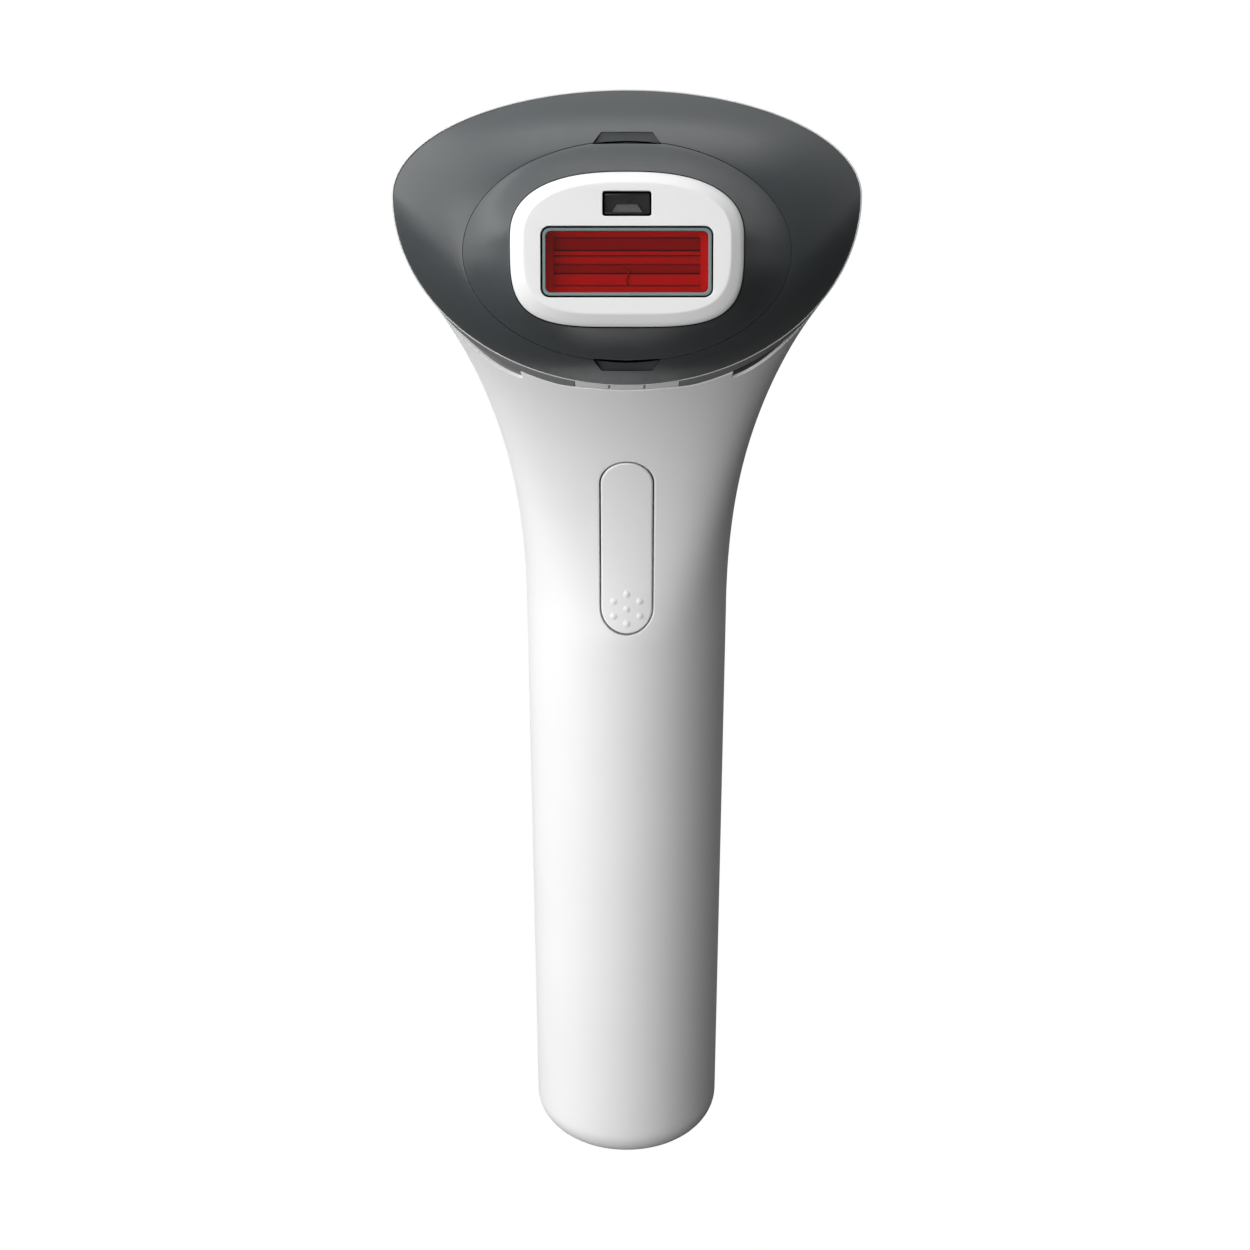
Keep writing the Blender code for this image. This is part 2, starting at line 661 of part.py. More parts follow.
def rear_grille(rear_shell):
    """A slotted grille low on the back of the head, square to the surface there."""
    middle = head_point(0.3, math.pi / 2)
    along = head_point(0.36, math.pi / 2) - head_point(0.24, math.pi / 2)
    lean = math.atan2(-along.y, along.z)
    turn = Matrix.Translation(middle) @ Matrix.Rotation(lean, 4, "X") @ Matrix.Rotation(
        math.radians(90), 4, "X"
    )
    corner = GRILLE_HALF_HEIGHT * 0.6
    hole = rounded_rectangle(
        GRILLE_HALF_WIDTH + GAP, GRILLE_HALF_HEIGHT + GAP, corner + GAP, 5
    )
    opening = plate("grille_opening", [hole], -8 * MM, 8 * MM)
    opening.data.transform(turn)
    combine(rear_shell, cutter(opening))
    edge = rounded_rectangle(GRILLE_HALF_WIDTH, GRILLE_HALF_HEIGHT, corner, 5)
    prism = plate("grille_shape", [edge], -8 * MM, 8 * MM)
    prism.data.transform(turn)
    angles = [math.radians(90 - 36 + 6 * i) for i in range(13)]
    points = [[head_point(0.1 + 0.04 * i, a) for a in angles] for i in range(11)]
    item = skin_piece("rear_grille", prism, points, SHELL_WALL * 0.75, "grey")
    pitch = 2 * GRILLE_HALF_HEIGHT / (GRILLE_SLOTS + 1)
    for i in range(GRILLE_SLOTS):
        level = -GRILLE_HALF_HEIGHT + pitch * (i + 1)
        wide = GRILLE_HALF_WIDTH * 0.72
        outline = rounded_rectangle(wide, pitch * 0.26, pitch * 0.25, 2, (0, level))
        slot = plate(f"grille_slot_{i + 1}", [outline], -8 * MM, 8 * MM)
        slot.data.transform(turn)
        combine(item, cutter(slot))


def base_pieces():
    half_x = BASE_HALF_WIDTH - BASE_FILLET - BASE_PLATE_MARGIN
    half_y = BASE_HALF_DEPTH - BASE_FILLET - BASE_PLATE_MARGIN
    edge = [(half_x * math.cos(a), half_y * math.sin(a)) for a in ring_angles(32)]
    screws = [(side * half_x * 0.55, -half_y * 0.42) for side in (-1, 1)]
    outlines = [edge, circle(SOCKET_RADIUS + GAP, (0, SOCKET_OFFSET))]
    outlines += [circle(SCREW_HEAD_RADIUS + GAP, place, 14) for place in screws]
    finish_piece(plate("base_plate", outlines, 0, BASE_PLATE_THICKNESS), "white")
    for side, (x, y) in zip(("left", "right"), screws):
        screw(f"base_screw_{side}", Vector((x, y, 0.4 * MM)), Vector((0, 0, 1)), 8 * MM)


def screw(name, head_face, direction, length):
    """A pan-head screw as a turned profile, from its outer face along a direction."""
    head_height = 1.2 * MM
    radius, shank = SCREW_HEAD_RADIUS, SCREW_SHANK_RADIUS
    profile = [(0, length), (shank, length), (shank, head_height), (radius, head_height)]
    profile += [(radius, 0.2 * MM), (radius - 0.2 * MM, 0), (0, 0)]
    mesh = bpy.data.meshes.new(name)
    edges = [(i, i + 1) for i in range(len(profile) - 1)]
    mesh.from_pydata([(x, 0, z) for x, z in profile], edges, [])
    item = bpy.data.objects.new(name, mesh)
    turned = item.modifiers.new("Screw", "SCREW")
    turned.steps = turned.render_steps = 14
    turned.use_merge_vertices = True
    turned.merge_threshold = 0.00001
    turned.use_smooth_shade = True
    item.location = head_face
    item.rotation_mode = "QUATERNION"
    item.rotation_quaternion = Vector((0, 0, 1)).rotation_difference(direction)
    return finish_piece(item, "steel")


# The removable attachment --------------------------------------------------------------------------


def safety_frame(head):
    """The white frame around the window, which sinks a little when it is pressed on the skin."""

    def ring(grow, depth):
        return [(*frame_outline(a, grow), -depth) for a in ring_angles()]

    rings = [
        ring(0, FRAME_THICKNESS),
        ring(0, FRAME_BEVEL_DROP),
        ring(-0.3 * FRAME_BEVEL, 0.45 * FRAME_BEVEL_DROP),
        ring(-FRAME_BEVEL, 0),
    ]
    item = finish_piece(skin("safety_frame", rings, caps=True), "white", head)
    window = rounded_rectangle(WINDOW_HALF_WIDTH, WINDOW_HALF_HEIGHT, WINDOW_CORNER)
    opening = plate("window_opening", [window], -2 * FRAME_THICKNESS, FRAME_THICKNESS)
    combine(item, cutter(opening, head))
    sensor = rounded_rectangle(
        SENSOR_HALF_WIDTH, SENSOR_HALF_HEIGHT, 0.4 * MM, 2, (0, SENSOR_RISE)
    )
    opening = plate("sensor_opening", [sensor], -2 * FRAME_THICKNESS, FRAME_THICKNESS)
    combine(item, cutter(opening, head))


def attachment_cap(head):
    def inner(angle):
        return frame_outline(angle, SLIDE_GAP)

    def inner_wall(angle):
        return seam_outline(angle, -FACE_WALL)

    rise = SEAM_DEPTH - CAP_EDGE_DEPTH
    rings = []
    for share in (0, 0.15, 0.3, 0.5, 0.7, 0.85, 1):
        depth = CAP_EDGE_DEPTH + rise * (share + DOME_SWELL * share * (1 - share))
        rings.append(blend_ring(inner, seam_outline, share, depth))
    for share in (1, 0.66, 0.33, 0):
        depth = CAP_EDGE_DEPTH + FACE_WALL + rise * (share + DOME_SWELL * share * (1 - share))
        rings.append(blend_ring(inner, inner_wall, share, min(depth, SEAM_DEPTH)))
    finish_piece(skin("attachment_cap", rings, loop=True), "dark", head)


def window_parts(head):
    edge = rounded_rectangle(
        WINDOW_HALF_WIDTH - GAP, WINDOW_HALF_HEIGHT - GAP, WINDOW_CORNER - GAP
    )
    inside = rounded_rectangle(
        WINDOW_HALF_WIDTH - GAP - WINDOW_RIM,
        WINDOW_HALF_HEIGHT - GAP - WINDOW_RIM,
        WINDOW_CORNER - GAP - 0.5 * WINDOW_RIM,
    )
    ring_back = GLASS_TOP + GLASS_THICKNESS
    item = plate("window_frame", [edge, inside], -ring_back, -0.4 * MM)
    finish_piece(item, "teal", head)
    glass = rounded_rectangle(
        WINDOW_HALF_WIDTH - GAP - WINDOW_RIM - 0.15 * MM,
        WINDOW_HALF_HEIGHT - GAP - WINDOW_RIM - 0.15 * MM,
        0.5 * MM,
    )
    item = plate("red_filter", [glass], -ring_back, -GLASS_TOP)
    finish_piece(item, "red_glass", head)
    outer = rounded_rectangle(TUNNEL_HALF_WIDTH, TUNNEL_HALF_HEIGHT, 1.2 * MM)
    bore = rounded_rectangle(
        TUNNEL_HALF_WIDTH - TUNNEL_WALL, TUNNEL_HALF_HEIGHT - TUNNEL_WALL, 0.5 * MM
    )
    item = plate("light_tunnel", [outer, bore], -BASE_TOP + GAP, -ring_back - GAP)
    finish_piece(item, "mirror_metal", head)
    edge = [seam_outline(a, -0.3 * MM) for a in ring_angles()]
    item = plate("attachment_base", [edge, bore], -ATTACHMENT_BOTTOM, -BASE_TOP)
    finish_piece(item, "black", head)


def sensor_parts(head):
    wide, high = SENSOR_HALF_WIDTH - SLIDE_GAP, SENSOR_HALF_HEIGHT - SLIDE_GAP
    low, top = SENSOR_RISE - high, SENSOR_RISE + high
    lens_back = 3.2 * MM
    item = block("sensor_lens", (-wide, low, -lens_back), (wide, top, -2.0 * MM))
    finish_piece(item, "lens", head)
    item = block(
        "sensor_housing", (-wide, low, -BASE_TOP + GAP), (wide, top, -lens_back - GAP)
    )
    bevel(item, 0.2 * MM, 1)
    finish_piece(item, "black", head)


def contact_strip(head):
    low = -ATTACHMENT_BOTTOM - GAP - 0.5 * MM
    level = SEAM_HIGH - 0.3 * (SEAM_HIGH - SEAM_RISE)
    item = block(
        "contact_strip", (-6 * MM, level - 1.2 * MM, low), (6 * MM, level + 1.2 * MM, low + 0.5 * MM)
    )
    finish_piece(item, "brass", head)


def coil(name, x, y, low, high, colour, parent):
    """A compression spring along Z, as a wire on a helix."""
    wire, radius, turns, steps = 0.22 * MM, 1.15 * MM, 5, 8
    curve = bpy.data.curves.new(name, "CURVE")
    curve.dimensions = "3D"
    curve.bevel_depth = wire
    curve.bevel_resolution = 1
    curve.use_fill_caps = True
    spline = curve.splines.new("POLY")
    spline.points.add(turns * steps)
    for i, point in enumerate(spline.points):
        angle = math.tau * i / steps
        share = i / (turns * steps)
        height = low + wire + (high - low - 2 * wire) * share
        point.co = (x + radius * math.cos(angle), y + radius * math.sin(angle), height, 1)
    finish_piece(bpy.data.objects.new(name, curve), colour, parent)


def frame_springs(head):
    x = (TUNNEL_HALF_WIDTH + FRAME_HALF_WIDTH) / 2 - 0.1 * MM
    for side, sign in (("left", -1), ("right", 1)):
        coil(
            f"frame_spring_{side}",
            sign * x,
            FRAME_RISE - 2 * MM,
            -BASE_TOP + GAP,
            -FRAME_THICKNESS - GAP,
            "steel",
            head,
        )


# Lamp, optics and cooling --------------------------------------------------------------------------

def lamp_module(head):
    edge = [seam_outline(a, -0.9 * MM) for a in ring_angles()]
    light = rounded_rectangle(WINDOW_HALF_WIDTH - MM, WINDOW_HALF_HEIGHT - MM, MM)
    item = plate("attachment_seat", [edge, light], -SEAT_BOTTOM, -SEAT_TOP)
    finish_piece(item, "black", head)
    wide, high = WINDOW_HALF_WIDTH, WINDOW_HALF_HEIGHT
    filter_back = SEAT_BOTTOM + GAP + MM
    item = block("uv_filter", (-wide, -high, -filter_back), (wide, high, -SEAT_BOTTOM - GAP))
    finish_piece(item, "clear_glass", head)
    reflector(head, filter_back + GAP)
    lamp(head)
    lamp_housing(head, filter_back + GAP)
    heat_sink(head)


def reflector(head, mouth):
    """A polished trough behind the lamp, a parabola drawn across Y and Z."""
    depth = LAMP_DEPTH + 2.6 * LAMP_RADIUS
    rings = []
    for x in (-WINDOW_HALF_WIDTH, WINDOW_HALF_WIDTH):
        ring = []
        for i in range(13):
            share = -1 + i / 6
            level = REFLECTOR_HALF_HEIGHT * math.sin(share * math.pi / 2)
            z = -depth + (depth - mouth) * (1 - math.cos(share * math.pi / 2))
            ring.append((x, level, z))
        rings.append(ring)
    item = skin("lamp_reflector", rings, closed_ring=False)
    thicken(item, REFLECTOR_WALL)
    finish_piece(item, "mirror_metal", head)


def lamp(head):
    reach = LAMP_HALF_LENGTH
    ends = ((-reach, 0, -LAMP_DEPTH), (reach, 0, -LAMP_DEPTH))
    finish_piece(rod("flash_lamp", LAMP_RADIUS, *ends, 16), "clear_glass", head)
    for side, sign in (("left", -1), ("right", 1)):
        start = (sign * (reach + GAP), 0, -LAMP_DEPTH)
        end = (sign * (reach + GAP + 3.0 * MM), 0, -LAMP_DEPTH)
        item = rod(f"lamp_electrode_{side}", LAMP_RADIUS * 1.1, start, end, 14)
        finish_piece(item, "steel", head)
    bpy.ops.mesh.primitive_torus_add(
        major_segments=20,
        minor_segments=6,
        major_radius=LAMP_RADIUS + 0.45 * MM,
        minor_radius=0.25 * MM,
    )
    made = bpy.context.object
    clip = bpy.data.objects.new("trigger_clip", made.data)
    bpy.data.objects.remove(made)
    clip.data.transform(
        Matrix.Translation((0, 0, -LAMP_DEPTH)) @ Matrix.Rotation(math.radians(90), 4, "Y")
    )
    finish_piece(clip, "steel", head)


def lamp_housing(head, top):
    """An open box around the lamp. Its ends carry the electrodes."""
    wide = LAMP_HALF_LENGTH + GAP + 3.0 * MM + INSIDE_CLEARANCE
    high = REFLECTOR_HALF_HEIGHT + REFLECTOR_WALL + INSIDE_CLEARANCE
    wall = 1.5 * MM
    item = block(
        "lamp_housing", (-wide - wall, -high - wall, -LAMP_HOUSING_DEPTH), (wide + wall, high + wall, -top)
    )
    pocket = block(
        "lamp_pocket", (-wide, -high, -LAMP_HOUSING_DEPTH + wall), (wide, high, -top + wall)
    )
    combine(item, cutter(pocket, head))
    finish_piece(item, "ceramic", head)


def heat_sink(head):
    """A comb of fins, drawn across Y and Z and extruded along X."""
    top = LAMP_HOUSING_DEPTH + GAP
    half = REFLECTOR_HALF_HEIGHT + 1.2 * MM
    fins, root = 5, 1.8 * MM
    pitch = 2 * half / (2 * fins - 1)
    outline = [(-half, -top), (-half, -top - HEAT_SINK_DEPTH)]
    for i in range(1, fins):
        start = -half + pitch * (2 * i - 1)
        outline += [(start, -top - HEAT_SINK_DEPTH), (start, -top - root)]
        outline += [(start + pitch, -top - root), (start + pitch, -top - HEAT_SINK_DEPTH)]
    outline += [(half, -top - HEAT_SINK_DEPTH), (half, -top)]
    item = plate("heat_sink", [outline], -WINDOW_HALF_WIDTH, WINDOW_HALF_WIDTH)
    item.data.transform(Matrix(((0, 0, 1, 0), (1, 0, 0, 0), (0, 1, 0, 0), (0, 0, 0, 1))))
    finish_piece(item, "aluminium", head)


def fan():
    """A square fan that stands in the neck, in the plane of the body's section there."""
    front = bezier(FRONT_PROFILE, FAN_STATION)
    back = bezier(BACK_PROFILE, FAN_STATION)
    run = back - front
    place = bpy.data.objects.new("fan_axis", None)
    PARTS.objects.link(place)
    place.location = front + run / 2
    place.rotation_euler = (math.atan2(run.z, run.y), 0, 0)
    inside = (NECK_HALF_WIDTH - SHELL_WALL, NECK_HALF_DEPTH - SHELL_WALL)
    half = 1 / math.hypot(1 / inside[0], 1 / inside[1]) - INSIDE_CLEARANCE
    bore = half - 1.2 * MM
    thick = FAN_THICKNESS / 2
    edge = rounded_rectangle(half, half, 2 * MM, 3)
    item = plate("fan_frame", [edge, circle(bore, steps=32)], -thick, thick)
    finish_piece(item, "black", place)
    hub, tip = 0.45 * bore, bore - 0.6 * MM
    outline = []
    for blade in range(FAN_BLADES):
        start = math.tau * blade / FAN_BLADES
        width = math.tau / FAN_BLADES
        for share, radius in ((0, hub), (0.2, tip), (0.62, tip), (0.5, hub)):
            angle = start + width * share
            outline.append((radius * math.cos(angle), radius * math.sin(angle)))
    item = plate("fan_rotor", [outline], -thick + 0.8 * MM, thick - 0.8 * MM)
    finish_piece(item, "black", place)


# Handle contents -----------------------------------------------------------------------------------


def power_pieces():
    end = CELL_START + CELL_LENGTH
    for side, sign in (("left", -1), ("right", 1)):
        x = sign * (CELL_RADIUS + GAP)
        item = rod(
            f"battery_cell_{side}",
            CELL_RADIUS,
            (x, CELL_BACK, CELL_START),
            (x, CELL_BACK, end),
            24,
        )
        bevel(item, 0.5 * MM, 1)
        finish_piece(item, "cell_wrap")
    low = end + 2.5 * MM
    radius = min(CAPACITOR_RADIUS, NECK_HALF_WIDTH - SHELL_WALL - INSIDE_CLEARANCE)
    item = rod(
        "flash_capacitor", radius, (0, CAPACITOR_BACK, low), (0, CAPACITOR_BACK, low + CAPACITOR_LENGTH), 28
    )
    bevel(item, 0.8 * MM, 1)
    finish_piece(item, "black")




def chassis_and_boards():
    low, high = 6.5 * MM, CELL_START + CELL_LENGTH + 1.5 * MM
    half = 0.68 * BASE_HALF_WIDTH
    back = CHASSIS_BACK
    front = back - CHASSIS_THICKNESS
    places = [(s * (half - 2.6 * MM), z) for s in (-1, 1) for z in (low + 2.6 * MM, high - 2.6 * MM)]
    edge = rounded_rectangle(half, (high - low) / 2, 2 * MM, 3, (0, (low + high) / 2))
    holes = [circle(SCREW_SHANK_RADIUS + GAP, place, 14) for place in places]
    item = plate("chassis", [edge, *holes], -back, -front)
    item.data.transform(Matrix.Rotation(math.radians(90), 4, "X"))
    finish_piece(item, "black")
    for i, (x, z) in enumerate(places):
        head_face = Vector((x, front - GAP - 1.2 * MM, z))
        screw(f"chassis_screw_{i + 1}", head_face, Vector((0, 1, 0)), 1.2 * MM + GAP + CHASSIS_THICKNESS)
    item = block(
        "main_board",
        (-BOARD_HALF_WIDTH, BOARD_FRONT, low + 3 * MM),
        (BOARD_HALF_WIDTH, BOARD_FRONT + BOARD_THICKNESS, high - 3 * MM),
    )
    finish_piece(item, "board")
    coil_half = 5.0 * MM
    item = block(
        "trigger_transformer",
        (-coil_half, BOARD_FRONT - GAP - 4.4 * MM, low + 12 * MM),
        (coil_half, BOARD_FRONT - GAP, low + 24 * MM),
    )
    bevel(item, 0.6 * MM)
    finish_piece(item, "brass")


def plunger_switch(name, y_board, facing, level, reach, colour="black"):
    """A small push switch on a board. facing is -1 towards the front and 1 towards the back."""
    half, stem = SWITCH_HALF, SWITCH_STEM_RADIUS
    near = y_board + facing * GAP
    far = near + facing * SWITCH_THICKNESS
    floor = far - facing * SWITCH_WELL_DEPTH
    item = block(
        f"{name}_switch_body",
        (-half, min(near, far), level - half),
        (half, max(near, far), level + half),
    )
    finish_piece(item, colour)
    well = rod(
        f"{name}_switch_well", stem + GAP, (0, floor, level), (0, far + facing * MM, level), 16
    )
    combine(item, cutter(well))
    start = floor + facing * (KEY_TRAVEL + GAP)
    item = rod(f"{name}_switch_plunger", stem, (0, start, level), (0, reach, level), 16)
    finish_piece(item, "steel")


def switches():
    front = BUTTON_SWITCH_BOARD
    level = BUTTON_LOW + BUTTON_HALF_WIDTH
    low, high = level - 5 * MM, level + 18 * MM
    item = block(
        "switch_board",
        (-6.5 * MM, front, low),
        (6.5 * MM, front + BOARD_THICKNESS, high),
    )
    finish_piece(item, "board")
    button_inside = front_at(level) + BUTTON_THICKNESS
    plunger_switch("flash", front, -1, level, button_inside + 2 * GAP)
    back = PANEL_BOARD + BOARD_THICKNESS
    item = block(
        "ui_board",
        (-5 * MM, PANEL_BOARD, PANEL_LOW + 1.5 * MM),
        (5 * MM, back, PANEL_LOW + PANEL_LENGTH - 1.5 * MM),
    )
    finish_piece(item, "board")
    for name, height in (("power", POWER_LEVEL), ("intensity", INTENSITY_LEVEL)):
        inside = handle_point(height, math.pi / 2).y - PANEL_THICKNESS
        plunger_switch(name, back, 1, height, inside - 2 * GAP)


def socket():
    low = BASE_PLATE_THICKNESS + GAP
    high = low + 7.5 * MM
    half = SOCKET_RADIUS + 1.0 * MM
    item = block(
        "dc_socket", (-half, SOCKET_OFFSET - half, low), (half, SOCKET_OFFSET + half, high)
    )
    bore = rod("socket_bore", SOCKET_RADIUS, (0, SOCKET_OFFSET, 0), (0, SOCKET_OFFSET, high - 1.5 * MM), 24)
    combine(item, cutter(bore))
    finish_piece(item, "black")
    item = rod(
        "socket_pin",
        SOCKET_PIN_RADIUS,
        (0, SOCKET_OFFSET, low),
        (0, SOCKET_OFFSET, high - 1.5 * MM - GAP),
        14,
    )
    finish_piece(item, "brass")


clear_scene()
PARTS = new_collection("ipl_hair_remover")
CUTTERS = new_collection("cutters")
CUTTERS.hide_render = True
HEAD = bpy.data.objects.new("head_axes", None)
PARTS.objects.link(HEAD)
HEAD.location = FACE_CENTRE
HEAD.rotation_euler = (math.radians(90) - FACE_TILT, 0, 0)
bpy.context.view_layer.update()

FRONT_SHELL = shell_half("front_shell", 180, rim_cutter("front_trim", HEAD, slots=True))
REAR_SHELL = shell_half("rear_shell", 0, rim_cutter("rear_trim", HEAD, slots=False))
flash_button_and_slot(FRONT_SHELL)
rear_controls(REAR_SHELL)
rear_grille(REAR_SHELL)
base_pieces()
socket()
bezel_ring(HEAD)
collar()
attachment_cap(HEAD)
safety_frame(HEAD)
window_parts(HEAD)
sensor_parts(HEAD)
contact_strip(HEAD)
frame_springs(HEAD)
lamp_module(HEAD)
fan()
power_pieces()
chassis_and_boards()
switches()
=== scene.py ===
"""Looks of a handheld IPL hair remover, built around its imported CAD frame.

Metres, +Z up; the treatment window faces -Y and is tilted a little upwards. The outer pieces, the
lamp and the reflector are made again as fine meshes on the CAD's own surfaces. The other inner
pieces keep their CAD mesh and get a material.
"""

import json
import math

import bmesh
import bpy
from mathutils import Matrix, Vector
from mathutils.geometry import tessellate_polygon


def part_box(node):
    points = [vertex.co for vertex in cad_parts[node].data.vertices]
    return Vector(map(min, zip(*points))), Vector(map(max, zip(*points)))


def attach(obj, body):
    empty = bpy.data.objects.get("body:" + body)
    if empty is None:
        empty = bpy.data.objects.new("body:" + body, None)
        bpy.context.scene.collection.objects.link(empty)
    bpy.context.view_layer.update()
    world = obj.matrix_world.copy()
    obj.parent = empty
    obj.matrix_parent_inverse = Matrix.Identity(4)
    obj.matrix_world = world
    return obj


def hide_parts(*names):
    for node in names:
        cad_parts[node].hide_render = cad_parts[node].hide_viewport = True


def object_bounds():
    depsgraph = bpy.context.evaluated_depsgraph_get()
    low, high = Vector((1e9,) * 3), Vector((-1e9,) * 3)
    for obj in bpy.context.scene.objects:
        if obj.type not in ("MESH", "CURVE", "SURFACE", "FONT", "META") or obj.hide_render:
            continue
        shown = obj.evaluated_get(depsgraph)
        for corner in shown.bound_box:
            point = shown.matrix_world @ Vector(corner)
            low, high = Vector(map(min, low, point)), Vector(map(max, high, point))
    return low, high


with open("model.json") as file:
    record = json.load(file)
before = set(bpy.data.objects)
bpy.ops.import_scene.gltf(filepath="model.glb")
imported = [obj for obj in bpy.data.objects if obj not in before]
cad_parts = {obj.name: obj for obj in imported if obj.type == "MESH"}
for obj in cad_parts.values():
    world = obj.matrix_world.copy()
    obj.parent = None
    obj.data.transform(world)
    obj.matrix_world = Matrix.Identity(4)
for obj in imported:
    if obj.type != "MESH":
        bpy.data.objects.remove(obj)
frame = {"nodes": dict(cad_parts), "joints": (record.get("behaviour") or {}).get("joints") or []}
CAD_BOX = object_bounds()
SCENE = bpy.context.scene
MM = 0.001
FRONT = math.radians(270)
BACK = math.radians(90)

# Measures read from the frame ----------------------------------------------------------------------


def joint_axis(name):
    return Vector(next(j["axis"] for j in frame["joints"] if j["name"] == name)).normalized()


def middle(node):
    low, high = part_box(node)
    return (low + high) / 2


FACE_NORMAL = joint_axis("attachment_pull")
FACE_UP = Vector((0, FACE_NORMAL.z, -FACE_NORMAL.y))


def face_box(node, origin=(0, 0, 0)):
    """A node's two corners along the face's own axes: across, up the face and out of it."""
    points = [v.co - Vector(origin) for v in frame["nodes"][node].data.vertices]
    rows = [(p.x, p.dot(FACE_UP), p.dot(FACE_NORMAL)) for p in points]
    return Vector(map(min, zip(*rows))), Vector(map(max, zip(*rows)))


def face_centre():
    glass_low, glass_high = face_box("red_filter")
    top = face_box("safety_frame")[1].z
    return FACE_UP * ((glass_low.y + glass_high.y) / 2) + FACE_NORMAL * top


FACE_CENTRE = face_centre()
HEAD = Matrix.Translation(FACE_CENTRE) @ Matrix(
    ((1, 0, 0, 0), (0, FACE_UP.y, FACE_NORMAL.y, 0), (0, FACE_UP.z, FACE_NORMAL.z, 0), (0, 0, 0, 1))
)
FRAME_LOW, FRAME_HIGH = face_box("safety_frame", FACE_CENTRE)
CAP_LOW, CAP_HIGH = face_box("attachment_cap", FACE_CENTRE)
RIM_LOW, RIM_HIGH = face_box("bezel_ring", FACE_CENTRE)
RING_LOW, RING_HIGH = face_box("window_frame", FACE_CENTRE)
GLASS_LOW, GLASS_HIGH = face_box("red_filter", FACE_CENTRE)
SENSOR_LOW, SENSOR_HIGH = face_box("sensor_lens", FACE_CENTRE)
SEAM_DEPTH = -CAP_LOW.z
RIM_DEPTH = -RIM_LOW.z

# Shape of the body, as the CAD has it
GAP = 0.3 * MM
SLIDE_GAP = 0.35 * MM
SHELL_WALL = 2.0 * MM
FACE_WALL = 1.6 * MM
HANDLE_LENGTH = 112.0 * MM
BASE_HALF_WIDTH = 18.1 * MM
BASE_HALF_DEPTH = 19.5 * MM
NECK_HALF_WIDTH = 19.0 * MM
NECK_HALF_DEPTH = 20.3 * MM
BASE_FILLET = 6.0 * MM
BASE_FLAT = 1.65 * MM
FRONT_EASE = 6.5 * MM
FRONT_SWEEP = 33.0 * MM
FRONT_ANGLE = math.radians(39.6)
BACK_EASE = 60.0 * MM
BACK_SWEEP = 10.6 * MM
BACK_ANGLE = math.radians(52)
FLARE_POWER = 1.9
RIM_RISE = 11.3 * MM
FRAME_RISE = 3.6 * MM
FRAME_POWERS = (3.8, 2.5)
FRAME_BEVEL = 2.2 * MM
FRAME_BEVEL_DROP = 1.5 * MM
FRAME_KNEE = (0.25, 0.62)  # where the bevel bends, as shares of its width and drop
FRAME_FLAT = 1.2 * MM
FRAME_FOOT = 0.8 * MM
BEVEL_SHARE = (0.96, 0.8)  # of the bevel's width, below and above the window
CAP_EDGE_DEPTH = 2.5 * MM
DOME_SWELL = 0.45
COLLAR_HEIGHT = 1.2 * MM
COLLAR_HEIGHT_SIDE = 1.9 * MM
COLLAR_EASE = 0.15  # share of the rim's half width over which the band grows to its full height
VENT_DEPTH = 1.5 * MM
VENT_SWELL = 5 * MM  # makes the slot's lower edge bulge, so that it tapers to the eye
VENT_START = 0.47 * RIM_HIGH.x
VENT_END = 0.82 * RIM_HIGH.x
NOTCH_HALF_WIDTH = 5.6 * MM
NOTCH_HALF_END = 4.3 * MM
NOTCH_REACH = 1.5 * MM
NOTCH_START = 0.55 * MM
NOTCH_CLEAR = 6 * MM
NOTCH_FLARE = 1.0 * MM
NOTCH_DEEP = 1.2 * MM
NOTCH_FAR_TOP = 1.5 * MM
NOTCH_FAR_BOTTOM = 3.1 * MM
SEAM_RISE = (CAP_LOW.y + CAP_HIGH.y) / 2

# The body's surface --------------------------------------------------------------------------------


def face_point(x, y, depth):
    return FACE_CENTRE + Vector((x, 0, 0)) + FACE_UP * y - FACE_NORMAL * depth


def depth_of(point):
    """How far a point lies behind the plane of the face."""
    return FACE_NORMAL.dot(FACE_CENTRE - point)


def bezier(points, t):
    weights = ((1 - t) ** 3, 3 * t * (1 - t) ** 2, 3 * t * t * (1 - t), t**3)
    return tuple(sum(w * p[i] for w, p in zip(weights, points)) for i in (1, 2))


def profile(side, ease, sweep, angle, rim_level):
    """Four control points of the head's front or back line, as places in the part."""
    rim = face_point(0, rim_level, RIM_DEPTH)
    end = Vector((0, -math.sin(angle), math.cos(angle)))
    neck = Vector((0, side * NECK_HALF_DEPTH, HANDLE_LENGTH))
    return neck, neck + Vector((0, 0, ease)), rim - end * sweep, rim


FRONT_LINE = profile(-1, FRONT_EASE, FRONT_SWEEP, FRONT_ANGLE, RIM_LOW.y)
BACK_LINE = profile(1, BACK_EASE, BACK_SWEEP, BACK_ANGLE, RIM_HIGH.y)
RIM_SHARE = (RIM_HIGH.y - RIM_RISE) / (RIM_HIGH.y - RIM_LOW.y)


